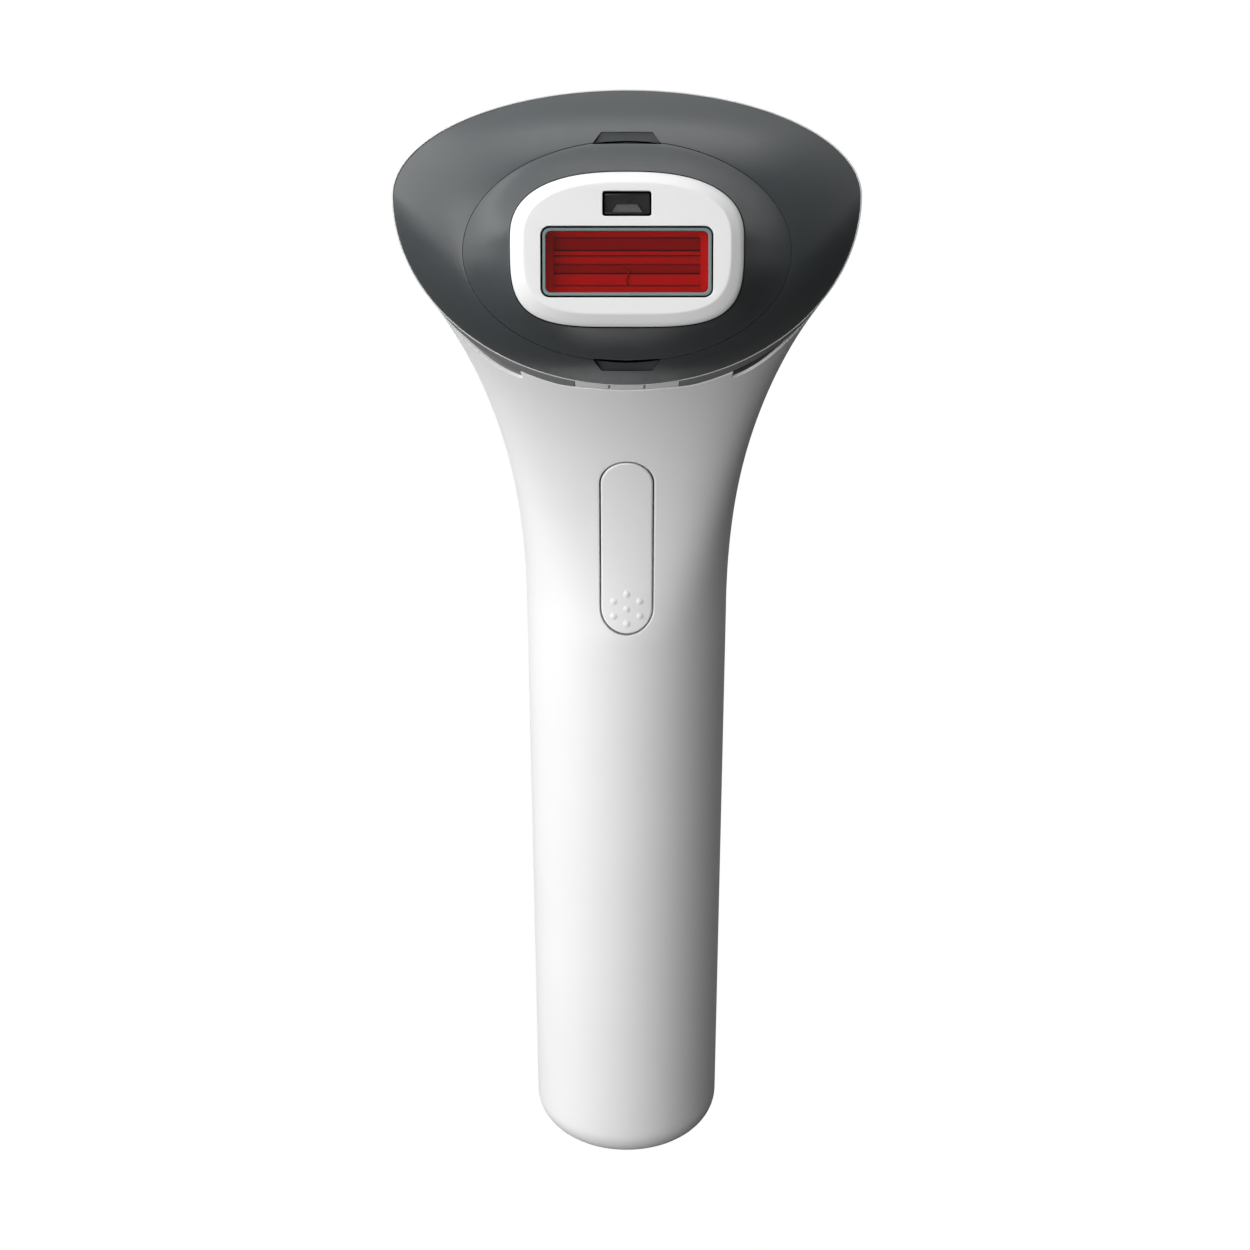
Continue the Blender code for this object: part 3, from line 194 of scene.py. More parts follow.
def body_point(level, angle):
    """A point of the white body. level is below 0 on the flat base, then 0-1 round the base edge,
    1-2 up the handle and 2-3 through the head. An angle of 270 degrees is the front."""
    across, along = math.cos(angle), math.sin(angle)
    if level < 1:
        turn = math.pi / 2 * max(level, 0)
        inset = BASE_FILLET * (1 - math.sin(turn)) - BASE_FLAT * min(level, 0)
        height = BASE_FILLET * (1 - math.cos(turn))
        return Vector(((BASE_HALF_WIDTH - inset) * across, (BASE_HALF_DEPTH - inset) * along, height))
    if level < 2:
        share = level - 1
        half_width = BASE_HALF_WIDTH + (NECK_HALF_WIDTH - BASE_HALF_WIDTH) * share
        half_depth = BASE_HALF_DEPTH + (NECK_HALF_DEPTH - BASE_HALF_DEPTH) * share
        height = BASE_FILLET + (HANDLE_LENGTH - BASE_FILLET) * share
        return Vector((half_width * across, half_depth * along, height))
    station = level - 2
    front_y, front_z = bezier(FRONT_LINE, station)
    back_y, back_z = bezier(BACK_LINE, station)
    share = 0.5 + (RIM_SHARE - 0.5) * station
    half_width = NECK_HALF_WIDTH + (RIM_HIGH.x - NECK_HALF_WIDTH) * station**FLARE_POWER
    reach = (share if along > 0 else 1 - share) * along
    y = back_y + (front_y - back_y) * share + (back_y - front_y) * reach
    z = back_z + (front_z - back_z) * share + (back_z - front_z) * reach
    return Vector((half_width * across, y, z))


def level_at_depth(angle, depth):
    """Level at which the head's surface lies this far behind the face, found by halving."""
    low, high = 2.6, 3.0
    for _ in range(28):
        half = (low + high) / 2
        if depth_of(body_point(half, angle)) > depth:
            low = half
        else:
            high = half
    return low


def near_rim_point(angle, depth):
    """A point of the body's surface carried on in a straight line from just below the rim."""
    rim = body_point(3, angle)
    run = body_point(2.97, angle) - rim
    return rim + run * ((depth - depth_of(rim)) / (depth_of(rim + run) - depth_of(rim)))


def inward(point, distance):
    """A point moved towards the middle of the head, in the plane of the face."""
    return point + (face_point(0, RIM_RISE, depth_of(point)) - point).normalized() * distance


class Plane:
    """A flat drawing, seen along its normal, that can be laid on the body's surface."""

    def __init__(self, origin, up, guess):
        self.origin = Vector(origin)
        self.up = Vector(up)
        self.side = 1 if guess[1] == FRONT else -1
        self.across = Vector((self.side, 0, 0))
        self.inside = self.up.cross(self.across)
        self.guess = guess

    def see(self, point):
        offset = point - self.origin
        return offset.dot(self.across), offset.dot(self.up)

    def lay(self, u, v, depth=0.0):
        """The body's point under (u, v), by Newton's method, and then a depth into the body."""
        level, angle = self.guess
        step = 1e-4
        for _ in range(8):
            point = body_point(level, angle)
            here_u, here_v = self.see(point)
            a_u, a_v = self.see(body_point(level + step, angle))
            b_u, b_v = self.see(body_point(level, angle + step))
            a_u, a_v = (a_u - here_u) / step, (a_v - here_v) / step
            b_u, b_v = (b_u - here_u) / step, (b_v - here_v) / step
            miss_u, miss_v = u - here_u, v - here_v
            if abs(miss_u) + abs(miss_v) < 1e-7:
                break
            size = a_u * b_v - a_v * b_u
            level += (miss_u * b_v - miss_v * b_u) / size
            angle += (a_u * miss_v - a_v * miss_u) / size
        return point + self.inside * depth


# Outlines ------------------------------------------------------------------------------------------


def egg(angle, half_width, low, high, rise, powers=(2.0, 2.0)):
    c, s = math.cos(angle), math.sin(angle)
    power, reach = (powers[1], high - rise) if s > 0 else (powers[0], rise - low)
    x = half_width * math.copysign(abs(c) ** (2 / power), c)
    return x, rise + reach * math.copysign(abs(s) ** (2 / power), s)


def frame_outline(angle, grow=0.0):
    below, above = [grow * share if grow < 0 else grow for share in BEVEL_SHARE]
    low, high = FRAME_LOW.y - below, FRAME_HIGH.y + above
    return egg(angle, FRAME_HIGH.x + grow, low, high, FRAME_RISE, FRAME_POWERS)


def seam_outline(angle, grow=0.0):
    return egg(angle, CAP_HIGH.x + grow, CAP_LOW.y - grow, CAP_HIGH.y + grow, SEAM_RISE)


def rim_outline(angle, grow=0.0):
    return egg(angle, RIM_HIGH.x + grow, RIM_LOW.y - grow, RIM_HIGH.y + grow, RIM_RISE)


def turns(count):
    return [math.tau * i / count for i in range(count)]


def oval(outline, count=256):
    """An outline of the head as a function of how far it has grown."""
    return lambda grow: [outline(a, grow) for a in turns(count)]


def rectangle(half_width, half_height, corner, centre=(0, 0), steps=10):
    """A rounded rectangle as a function of how far it has grown. Equal halves and corner give a circle."""

    def outline(grow):
        radius = max(corner + grow, 0.02 * MM)
        points = []
        for quarter in range(4):
            side = (1, -1, -1, 1)[quarter]
            level = (1, 1, -1, -1)[quarter]
            for step in range(steps + 1):
                angle = math.pi / 2 * (quarter + step / steps)
                x = side * (half_width + grow - radius) + radius * math.cos(angle)
                y = level * (half_height + grow - radius) + radius * math.sin(angle)
                points.append((centre[0] + x, centre[1] + y))
        return [p for i, p in enumerate(points) if math.dist(p, points[i - 1]) > 0.002 * MM]

    return outline


def circle(radius, centre, count):
    return [(centre[0] + radius * math.cos(a), centre[1] + radius * math.sin(a)) for a in turns(count)]


def disc(radius, centre=(0, 0), count=64):
    return lambda grow: circle(radius + grow, centre, count)


def rounded_path(corners, steps=5):
    """Points along straight runs whose corners are rounded. Each corner is (a, b, radius)."""
    points = [Vector(corners[0][:2])]
    for before, corner, after in zip(corners, corners[1:], corners[2:]):
        tip = Vector(corner[:2])
        back = (Vector(before[:2]) - tip).normalized() * corner[2]
        ahead = (Vector(after[:2]) - tip).normalized() * corner[2]
        if corner[2] == 0:
            points.append(tip)
            continue
        for i in range(steps + 1):
            t = i / steps
            points.append(tip + back * (1 - t) ** 2 + ahead * t**2)
    points.append(Vector(corners[-1][:2]))
    return [tuple(p) for p in points]


# Mesh tools ----------------------------------------------------------------------------------------


def finished(name, bm):
    mesh = bpy.data.meshes.new(name)
    bm.to_mesh(mesh)
    bm.free()
    return mesh


def piece(name, bm, body, material, nodes=(), sharp=40, orient=True):
    """Makes the mesh a piece that rides on a body and the CAD nodes that it stands for."""
    if orient:
        bmesh.ops.recalc_face_normals(bm, faces=bm.faces)
    mesh = finished(name, bm)
    mesh.shade_smooth()
    mesh.set_sharp_from_angle(angle=math.radians(sharp))
    mesh.materials.append(material)
    item = bpy.data.objects.new(name, mesh)
    SCENE.collection.objects.link(item)
    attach(item, body)
    if nodes:
        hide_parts(*nodes)
    return item


def modify(item, kind, **settings):
    modifier = item.modifiers.new(kind.title(), kind)
    for key, value in settings.items():
        setattr(modifier, key, value)
    return modifier


def even_shading(item):
    modify(item, "WEIGHTED_NORMAL", keep_sharp=True, weight=100)


def loft(bm, rings, closed=True, loop=False):
    rows = [[bm.verts.new(point) for point in ring] for ring in rings]
    count = len(rows[0])
    pairs = list(zip(rows, rows[1:]))
    if loop:
        pairs.append((rows[-1], rows[0]))
    for below, above in pairs:
        for i in range(count if closed else count - 1):
            j = (i + 1) % count
            bm.faces.new((below[i], below[j], above[j], above[i]))
    return rows


def capped(rings):
    """A solid through the rings, closed by a face at each end."""
    bm = bmesh.new()
    rows = loft(bm, rings)
    bm.faces.new(rows[0][::-1])
    bm.faces.new(rows[-1])
    return bm


def block(size, centre, turn=0.0):
    """A box of this size, turned about Z and then moved to its centre."""
    bm = bmesh.new()
    bmesh.ops.create_cube(bm, size=1)
    bmesh.ops.scale(bm, vec=size, verts=bm.verts)
    bmesh.ops.rotate(bm, matrix=Matrix.Rotation(turn, 3, "Z"), verts=bm.verts)
    bmesh.ops.translate(bm, vec=centre, verts=bm.verts)
    return bm


def fill(bm, loops):
    """Flat faces between loops of vertices. The first loop is the edge and the others are holes."""
    corners = [v for loop in loops for v in loop]
    for triple in tessellate_polygon([[v.co for v in loop] for loop in loops]):
        bm.faces.new([corners[i] for i in triple])


def layered_plate(outlines):
    """A flat solid. Each outline is (function of grow, path of (grow, level)), and all paths end level."""
    bm = bmesh.new()
    tops, bottoms = [], []
    for outline, path in outlines:
        rings = [[(x, y, level) for x, y in outline(grow)] for grow, level in path]
        rows = loft(bm, rings)
        tops.append(rows[0])
        bottoms.append(rows[-1])
    fill(bm, tops)
    fill(bm, bottoms)
    return bm


def plate_path(radius, low, high, side=-1):
    """Path of an edge whose two corners are rounded. side is -1 on the outer edge and 1 in a hole."""
    reach = side * 3 * radius
    path = rounded_path(
        [(reach, high, 0), (0, high, radius), (0, low, radius), (reach, low, 0)],
    )
    return path[1:-1]


def round_off(bm, radius, wall, steps=4):
    """Rounds each open edge of a flat sheet in X and Z over into Y, and then runs a wall along Y."""
    following = {}
    for edge in bm.edges:
        if edge.is_boundary:
            start = edge.link_loops[0].vert
            following[start] = edge.other_vert(start)
    offsets = [(radius * math.sin(a), radius * (1 - math.cos(a))) for a in
               [math.pi / 2 * (i + 1) / steps for i in range(steps)]]
    offsets.append((radius, wall))
    while following:
        loop = [next(iter(following))]
        while following[loop[-1]] is not loop[0]:
            loop.append(following[loop[-1]])
        for vertex in loop:
            del following[vertex]
        normals = []
        for before, here, after in zip(loop[-1:] + loop[:-1], loop, loop[1:] + loop[:1]):
            run = (here.co - before.co).normalized() + (after.co - here.co).normalized()
            normals.append(Vector((run.z, 0, -run.x)).normalized())
        row = loop
        for out, depth in offsets:
            new = []
            for vertex, normal in zip(loop, normals):
                place = vertex.co + normal * out
                new.append(bm.verts.new((place.x, vertex.co.y + depth, place.z)))
            for i in range(len(loop)):
                j = (i + 1) % len(loop)
                bm.faces.new((row[j], row[i], new[i], new[j]))
            row = new


def flat_sheet(outlines, cuts_u, cuts_v):
    """A flat sheet in X and Z between outlines, cut into strips fine enough to follow a curve."""
    bm = bmesh.new()
    fill(bm, [[bm.verts.new((x, 0, z)) for x, z in outline] for outline in outlines])
    for normal, cuts in (((1, 0, 0), cuts_u), ((0, 0, 1), cuts_v)):
        for cut_level in cuts:
            place = [cut_level * n for n in normal]
            everything = bm.verts[:] + bm.edges[:] + bm.faces[:]
            bmesh.ops.bisect_plane(bm, geom=everything, dist=1e-7, plane_co=place, plane_no=normal)
    bmesh.ops.recalc_face_normals(bm, faces=bm.faces)
    if sum(face.normal.y * face.calc_area() for face in bm.faces) > 0:
        bmesh.ops.reverse_faces(bm, faces=bm.faces)
    return bm


def spread(low, high, pitch):
    """Even cuts between two levels, not at the levels themselves."""
    count = max(1, round((high - low) / pitch))
    return [low + (high - low) * i / count for i in range(1, count)]


def skin_plate(outlines, plane, radius, wall, cuts, relief=None):
    """A plate with rounded edges that follows the body. Outlines are functions of grow, edge first."""
    drawn = [outlines[0](-radius)] + [outline(radius) for outline in outlines[1:]]
    bm = flat_sheet(drawn, *cuts)
    round_off(bm, radius, wall)
    for vertex in bm.verts:
        u, depth, v = vertex.co
        lift = relief(u, v) if relief and depth == 0 else 0.0
        vertex.co = plane.lay(u, v, depth - lift)
    return bm


def extents(outline):
    points = outline(0)
    us, vs = zip(*points)
    return min(us), max(us), min(vs), max(vs)


def even_cuts(outline, pitch_u, pitch_v):
    low_u, high_u, low_v, high_v = extents(outline)
    return spread(low_u, high_u, pitch_u), spread(low_v, high_v, pitch_v)


# Materials -----------------------------------------------------------------------------------------


def new_material(name, colour, roughness, metallic=0.0, **sockets):
    material = bpy.data.materials.new(name)
    material.use_nodes = True
    shader = material.node_tree.nodes["Principled BSDF"]
    shader.inputs["Base Color"].default_value = (*colour, 1)
    shader.inputs["Roughness"].default_value = roughness
    shader.inputs["Metallic"].default_value = metallic
    for socket, value in sockets.items():
        shader.inputs[socket.replace("_", " ")].default_value = value
    return material, material.node_tree, shader


def add(tree, kind, **settings):
    node = tree.nodes.new(kind)
    for key, value in settings.items():
        if key in node.inputs:
            node.inputs[key].default_value = value
        else:
            setattr(node, key, value)
    return node


def noise(tree, scale, detail=2.0, stretch=None):
    """Noise in the part's own frame. stretch squeezes it along an axis, as brushing does."""
    place = tree.nodes.new("ShaderNodeTexCoord").outputs["Object"]
    if stretch:
        mapping = add(tree, "ShaderNodeMapping", Scale=stretch)
        tree.links.new(place, mapping.inputs["Vector"])
        place = mapping.outputs["Vector"]
    node = add(tree, "ShaderNodeTexNoise", Scale=scale, Detail=detail)
    tree.links.new(place, node.inputs["Vector"])
    return node.outputs["Fac"]


# The stretch of its range in which noise mostly falls
NOISE_LOW, NOISE_HIGH = 0.3, 0.7


def vary_colour(tree, shader, source, dark, light):
    ramp = add(tree, "ShaderNodeValToRGB")
    for element, position, colour in zip(ramp.color_ramp.elements, (NOISE_LOW, NOISE_HIGH), (dark, light)):
        element.position = position
        element.color = (*colour, 1)
    tree.links.new(source, ramp.inputs["Fac"])
    tree.links.new(ramp.outputs["Color"], shader.inputs["Base Color"])


def vary_roughness(tree, shader, source, low, high):
    span = {"From Min": NOISE_LOW, "From Max": NOISE_HIGH, "To Min": low, "To Max": high}
    levels = add(tree, "ShaderNodeMapRange", **span)
    tree.links.new(source, levels.inputs["Value"])
    tree.links.new(levels.outputs["Result"], shader.inputs["Roughness"])


def add_bump(tree, shader, source, strength, height):
    bump = add(tree, "ShaderNodeBump", Strength=strength, Distance=height)
    tree.links.new(source, bump.inputs["Height"])
    tree.links.new(bump.outputs["Normal"], shader.inputs["Normal"])


def scaled(colour, share):
    return tuple(min(1.0, c * share) for c in colour)


def plastic(name, colour, roughness, grain=2600, height=0.000012, strength=0.25, **sockets):
    """Moulded plastic: a spark-eroded grain, faint clouding of its colour and an uneven polish."""
    material, tree, shader = new_material(name, colour, roughness, **sockets)
    cloud = noise(tree, 45, 3)
    vary_colour(tree, shader, cloud, scaled(colour, 0.985), scaled(colour, 1.015))
    vary_roughness(tree, shader, noise(tree, 300, 4), roughness - 0.03, roughness + 0.03)
    add_bump(tree, shader, noise(tree, grain, 3), strength, height)
    return material


def metal(name, colour, roughness, stretch=None, strength=0.2, grain=1500):
    material, tree, shader = new_material(name, colour, roughness, 1.0)
    lines = noise(tree, grain, 4, stretch)
    vary_colour(tree, shader, noise(tree, 120, 3), scaled(colour, 0.94), scaled(colour, 1.03))
    vary_roughness(tree, shader, lines, max(0.02, roughness - 0.06), roughness + 0.08)
    add_bump(tree, shader, lines, strength, 0.00001)
    return material


def glass(name, colour, tint, roughness):
    """Thin glass that lets the lights through with a tint, so that what is behind it is lit."""
    material, tree, shader = new_material(name, colour, roughness, Transmission_Weight=1.0, IOR=1.46)
    clear = add(tree, "ShaderNodeBsdfTransparent")
    clear.inputs["Color"].default_value = (*tint, 1)
    path = add(tree, "ShaderNodeLightPath")
    choice = add(tree, "ShaderNodeMixShader")
    tree.links.new(path.outputs["Is Shadow Ray"], choice.inputs["Fac"])
    tree.links.new(shader.outputs["BSDF"], choice.inputs[1])
    tree.links.new(clear.outputs["BSDF"], choice.inputs[2])
    tree.links.new(choice.outputs["Shader"], tree.nodes["Material Output"].inputs["Surface"])
    add_bump(tree, shader, noise(tree, 220, 2), 0.02, 0.00001)
    return material


def circuit(name, colour, copper):
    """Solder-masked board: copper tracks show as a paler, slightly raised maze under the green."""
    material, tree, shader = new_material(name, colour, 0.35)
    place = tree.nodes.new("ShaderNodeTexCoord").outputs["Object"]
    tracks = add(tree, "ShaderNodeTexVoronoi", Scale=420.0, feature="F1", distance="MANHATTAN")
    tree.links.new(place, tracks.inputs["Vector"])
    ramp = add(tree, "ShaderNodeValToRGB")
    ramp.color_ramp.interpolation = "CONSTANT"
    ramp.color_ramp.elements[0].color = (*colour, 1)
    ramp.color_ramp.elements[1].color = (*copper, 1)
    ramp.color_ramp.elements[1].position = 0.52
    tree.links.new(tracks.outputs["Distance"], ramp.inputs["Fac"])
    tree.links.new(ramp.outputs["Color"], shader.inputs["Base Color"])
    add_bump(tree, shader, tracks.outputs["Distance"], 0.3, 0.00004)
    vary_roughness(tree, shader, noise(tree, 600, 3), 0.28, 0.42)
    return material


WHITE = plastic("white_satin", (0.84, 0.84, 0.842), 0.55, Specular_IOR_Level=0.2)
BUTTON_WHITE = plastic("button_white", (0.85, 0.85, 0.852), 0.5, Specular_IOR_Level=0.2)
# White clips greyed down: painted shade from the rim that overhangs them.
CLIP_SHADED_WHITE = plastic("clip_white_painted_shade", (0.62, 0.62, 0.62), 0.45, Specular_IOR_Level=0.3)
# Black for the right air slot's throat: painted shade, where that slot lies out of the key light.
THROAT_SHADE_BLACK = plastic("throat_painted_shade", (0.03, 0.03, 0.031), 0.6)
FRAME_WHITE = plastic("frame_white", (0.755, 0.755, 0.755), 0.4, Specular_IOR_Level=0.35)
BEZEL = plastic("bezel_slate", (0.04, 0.046, 0.049), 0.33, grain=3200, Specular_IOR_Level=0.5)
# Light grey against the dark bezel: a painted highlight along the rim's edge.
HIGHLIGHT_BEAD = plastic("bead_painted_highlight", (0.6, 0.6, 0.6), 0.16, strength=0.05)
COLLAR_GREY = plastic("collar_grey", (0.18, 0.18, 0.182), 0.35)
PANEL_GREY = plastic("panel_grey", (0.15, 0.155, 0.16), 0.3)
TEAL = plastic("window_ring_teal", (0.155, 0.225, 0.225), 0.3)
BLACK = plastic("black_nylon", (0.022, 0.022, 0.023), 0.5, grain=1800, strength=0.4)
SENSOR_DARK = plastic("sensor_dark", (0.012, 0.012, 0.013), 0.16, strength=0.05)
SENSOR_GREY = plastic("sensor_grey", (0.06, 0.06, 0.062), 0.3)
TUNNEL_SILVER = plastic("tunnel_silver", (0.5, 0.5, 0.5), 0.35)
# Two tones of one grey plastic for the ribs: painted shade and painted light, standing in for the
# reflector's bands. The small clip wire wears the dark one too.
RIB_DARK_PAINTED_SHADE = plastic("rib_dark_painted_shade", (0.22, 0.22, 0.22), 0.4)
RIB_PAINTED_LIGHT = plastic("rib_painted_light", (0.42, 0.42, 0.42), 0.4)
RIB_BEAD = plastic("rib_bead", (0.42, 0.42, 0.42), 0.12, strength=0.05)
MIRROR = metal("reflector_mirror", (0.9, 0.9, 0.91), 0.1, stretch=(1, 12, 12), strength=0.08)
STEEL = metal("steel", (0.56, 0.56, 0.57), 0.28)
BRASS = metal("brass", (0.76, 0.58, 0.24), 0.25)
COPPER = metal("copper_winding", (0.72, 0.33, 0.16), 0.3, stretch=(1, 1, 18), strength=0.6, grain=500)
ALUMINIUM = metal("aluminium", (0.72, 0.73, 0.74), 0.35, stretch=(0.05, 1, 1))
CERAMIC = plastic("ceramic", (0.78, 0.76, 0.71), 0.6, grain=1400, strength=0.5)
BOARD = circuit("circuit_board", (0.01, 0.11, 0.045), (0.03, 0.2, 0.075))
CELL = plastic("cell_wrap", (0.03, 0.1, 0.26), 0.28, grain=900, strength=0.3)
CAN = plastic("capacitor_can", (0.02, 0.022, 0.03), 0.3, grain=900)
RED_GLASS = glass("red_filter_glass", (0.74, 0.06, 0.05), (0.86, 0.3, 0.28), 0.03)
CLEAR_GLASS = glass("clear_glass", (0.93, 0.95, 0.95), (0.93, 0.95, 0.95), 0.02)
MILKY = plastic("light_guide", (0.75, 0.78, 0.78), 0.3, Transmission_Weight=0.35)
MARK_GREY = plastic("mark_grey", (0.2, 0.205, 0.21), 0.4)

# White body ----------------------------------------------------------------------------------------

SEAM_EDGE = 0.1 * MM
SLOT_GAP = 0.33 * MM
BUTTON_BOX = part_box("flash_button")
PANEL_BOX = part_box("rear_panel")
EDGE_BEVEL = 0.09 * MM


def stadium(box, grow=0.0):
    """Half sizes and middle height of an upright slot with round ends around a node."""
    low, high = box
    return (high.x - low.x) / 2 + grow, (high.z - low.z) / 2 + grow, (low.z + high.z) / 2


def band_foot(angle):
    """Depth of the lower edge of the band under the bezel, which is narrowest in the front middle."""
    x = abs(RIM_HIGH.x * math.cos(angle))
    share = max(0.0, min(1.0, x / (COLLAR_EASE * RIM_HIGH.x) - 1))
    return RIM_DEPTH + COLLAR_HEIGHT + (COLLAR_HEIGHT_SIDE - COLLAR_HEIGHT) * share


def shell_edge_depth(angle):
    """Depth of the shell's front edge below the face, which drops in a tapered air slot each side."""
    x = abs(RIM_HIGH.x * math.cos(angle))
    edge = band_foot(angle)
    if math.sin(angle) > 0 or not VENT_START <= x <= VENT_END:
        return edge
    share = (VENT_END - x) / (VENT_END - VENT_START)
    return edge + VENT_DEPTH * share + VENT_SWELL * share * (1 - share)


OPENING_SIGHT = -0.3  # sine of the angle beyond which a point is on the far side of the body
OPENING_BORDER = 1.2 * MM
OPENING_LOOPS = 5
SHELL_COLUMNS = 97
BASE_ROWS = 10
HANDLE_ROWS = 44
HEAD_ROWS = 72
HEAD_SHARE = 5 / 6  # of the head's rows are even, and then the edge rows follow the shell's edge
EDGE_ROWS = 8


class Opening:
    """A rounded hole in the shell. The shell's grid runs round it in loops that keep its shape."""

    def __init__(self, plane, half_u, half_v, corner):
        self.plane = plane
        self.core = (half_u - corner, half_v - corner)
        self.radius = corner

    def split(self, u, v):
        """Nearest point of the hole's core, the direction away from it and the distance."""
        core = [max(-c, min(c, q)) for c, q in zip(self.core, (u, v))]
        away = Vector((u - core[0], v - core[1]))
        return Vector(core), away, away.length

    def covers(self, point, angle):
        if self.plane.side * math.sin(angle) > OPENING_SIGHT:
            return False
        return self.split(*self.plane.see(point))[2] < self.radius + OPENING_BORDER


def body_grid(start, end, levels, edge_steps, extra=()):
    """Angles and rows of points of half a shell, with its last rows gathered at the front edge."""
    angles = [start + (end - start) * i / (SHELL_COLUMNS - 1) for i in range(SHELL_COLUMNS)]
    angles = sorted(angles + list(extra))
    rows = [[body_point(level, a) for a in angles] for level in levels]
    last = levels[-1]
    edges = [level_at_depth(a, shell_edge_depth(a)) for a in angles]
    for i in range(1, edge_steps + 1):
        rows.append([body_point(last + (e - last) * i / edge_steps, a) for a, e in zip(angles, edges)])
    return angles, rows


def fill_opening(bm, grid, cells, opening):
    """Loops of faces from a rectangle of the grid in to the edge of the opening."""
    (row_low, row_high), (low, high) = cells
    rim = [grid[row_low][c] for c in range(low, high)]
    rim += [grid[r][high] for r in range(row_low, row_high)]
    rim += [grid[row_high][c] for c in range(high, low, -1)]
    rim += [grid[r][low] for r in range(row_high, row_low, -1)]
    before = rim
    for k in range(1, OPENING_LOOPS + 1):
        ring = []
        for vertex in rim:
            core, away, distance = opening.split(*opening.plane.see(vertex.co))
            reach = opening.radius + (distance - opening.radius) * (1 - k / OPENING_LOOPS) ** 1.3
            place = core + away.normalized() * reach
            ring.append(bm.verts.new(opening.plane.lay(place.x, place.y)))
        for i in range(len(rim)):
            j = (i + 1) % len(rim)
            bm.faces.new((before[i], before[j], ring[j], ring[i]))
        before = ring


def half_shell(name, node, start, openings, extra=()):
    edge = SEAM_EDGE / NECK_HALF_WIDTH
    levels = [-1, -0.5] + [i / BASE_ROWS for i in range(BASE_ROWS)]
    levels += [1 + i / HANDLE_ROWS for i in range(HANDLE_ROWS)]
    levels += [2 + i / HEAD_ROWS for i in range(round(HEAD_SHARE * HEAD_ROWS))]
    angles, rows = body_grid(start + edge, start + math.pi - edge, levels, EDGE_ROWS, extra)
    bm = bmesh.new()
    grid = [[bm.verts.new(p) for p in row] for row in rows]
    skipped = set()
    for opening in openings:
        inside = [
            (r, c)
            for r, row in enumerate(rows)
            for c, point in enumerate(row)
            if opening.covers(point, angles[c])
        ]
        row_span = min(r for r, _ in inside) - 1, max(r for r, _ in inside) + 1
        column_span = min(c for _, c in inside) - 1, max(c for _, c in inside) + 1
        skipped |= {(r, c) for r in range(*row_span) for c in range(*column_span)}
        fill_opening(bm, grid, (row_span, column_span), opening)
    for r in range(len(rows) - 1):
        for c in range(len(angles) - 1):
            if (r, c) not in skipped:
                bm.faces.new((grid[r][c], grid[r][c + 1], grid[r + 1][c + 1], grid[r + 1][c]))
    bmesh.ops.delete(bm, geom=[v for v in bm.verts if not v.link_faces], context="VERTS")
    item = piece(name, bm, "housing", WHITE, [node], orient=False)
    modify(item, "SOLIDIFY", thickness=SHELL_WALL, offset=-1, use_even_offset=True)
    modify(
        item, "BEVEL", width=EDGE_BEVEL, segments=3, limit_method="ANGLE", angle_limit=math.radians(50),
        use_clamp_overlap=False,
    )
    even_shading(item)
    return item


def upright(node, guess):
    """A drawing plane across X and Z at a node's own middle height."""
    return Plane((0, 0, middle(node).z), (0, 0, 1), guess)


def opening_round(node, plane):
    half_u, half_v, _ = stadium(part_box(node), SLOT_GAP)
    return Opening(plane, half_u, half_v, half_u)


BUTTON_PLANE = upright("flash_button", (2.3, FRONT))
PANEL_PLANE = upright("rear_panel", (1.7, BACK))
GRILLE_LEVEL = 2.3
GRILLE_HALF = (9.0 * MM, 6.5 * MM)
GRILLE_CORNER = 0.6 * GRILLE_HALF[1]
GRILLE_SLOTS = 5
GRILLE_SLOT_WIDTH = 0.72  # of the grille
GRILLE_SLOT_HEIGHT = 0.26  # of the pitch, to each side


def grille_plane():
    run = body_point(GRILLE_LEVEL + 0.06, BACK) - body_point(GRILLE_LEVEL - 0.06, BACK)
    return Plane(body_point(GRILLE_LEVEL, BACK), run.normalized(), (GRILLE_LEVEL, BACK))


GRILLE_PLANE = grille_plane()


def shells():
    step = math.acos(VENT_START / RIM_HIGH.x)
    sliver = math.radians(0.2)
    extra = [FRONT + side * (math.pi / 2 - step) + s * sliver for side in (-1, 1) for s in (-1, 1)]
    half_shell(
        "front_casing", "front_shell", math.pi, [opening_round("flash_button", BUTTON_PLANE)], extra
    )
    grille = Opening(
        GRILLE_PLANE, GRILLE_HALF[0] + GAP, GRILLE_HALF[1] + GAP, GRILLE_CORNER + GAP
    )
    half_shell("rear_casing", "rear_shell", 0.0, [opening_round("rear_panel", PANEL_PLANE), grille])


ROUND_END = 0.9999
DOT_RADIUS = 0.72 * MM
DOT_RING = 2.78 * MM
DOT_HEIGHT = 0.2 * MM
BUTTON_EDGE = 0.32 * MM
BUTTON_WALL = 0.8 * MM
FINE_PITCH = 0.12 * MM
COARSE_PITCH = 0.5 * MM


def flash_key():
    half_u, half_v, _ = stadium(BUTTON_BOX)
    outline = rectangle(half_u, half_v, half_u * ROUND_END, steps=24)
    end = -(half_v - half_u)
    dots = [(0, end)] + [(DOT_RING * math.sin(a), end + DOT_RING * math.cos(a)) for a in turns(6)]

    def relief(u, v):
        distance = min(math.hypot(u - x, v - y) for x, y in dots)
        return DOT_HEIGHT * (1 - min(1.0, distance / DOT_RADIUS) ** 2) ** 1.5

    reach = DOT_RING + DOT_RADIUS
    fine = spread(end - reach, end + reach, FINE_PITCH)
    coarse = spread(-half_v, fine[0], COARSE_PITCH) + fine + spread(fine[-1], half_v, COARSE_PITCH)
    cuts = spread(-half_u, half_u, FINE_PITCH), coarse
    bm = skin_plate([outline], BUTTON_PLANE, BUTTON_EDGE, BUTTON_WALL, cuts, relief)
    piece("flash_key", bm, "flash_button", BUTTON_WHITE, ["flash_button"], sharp=60)


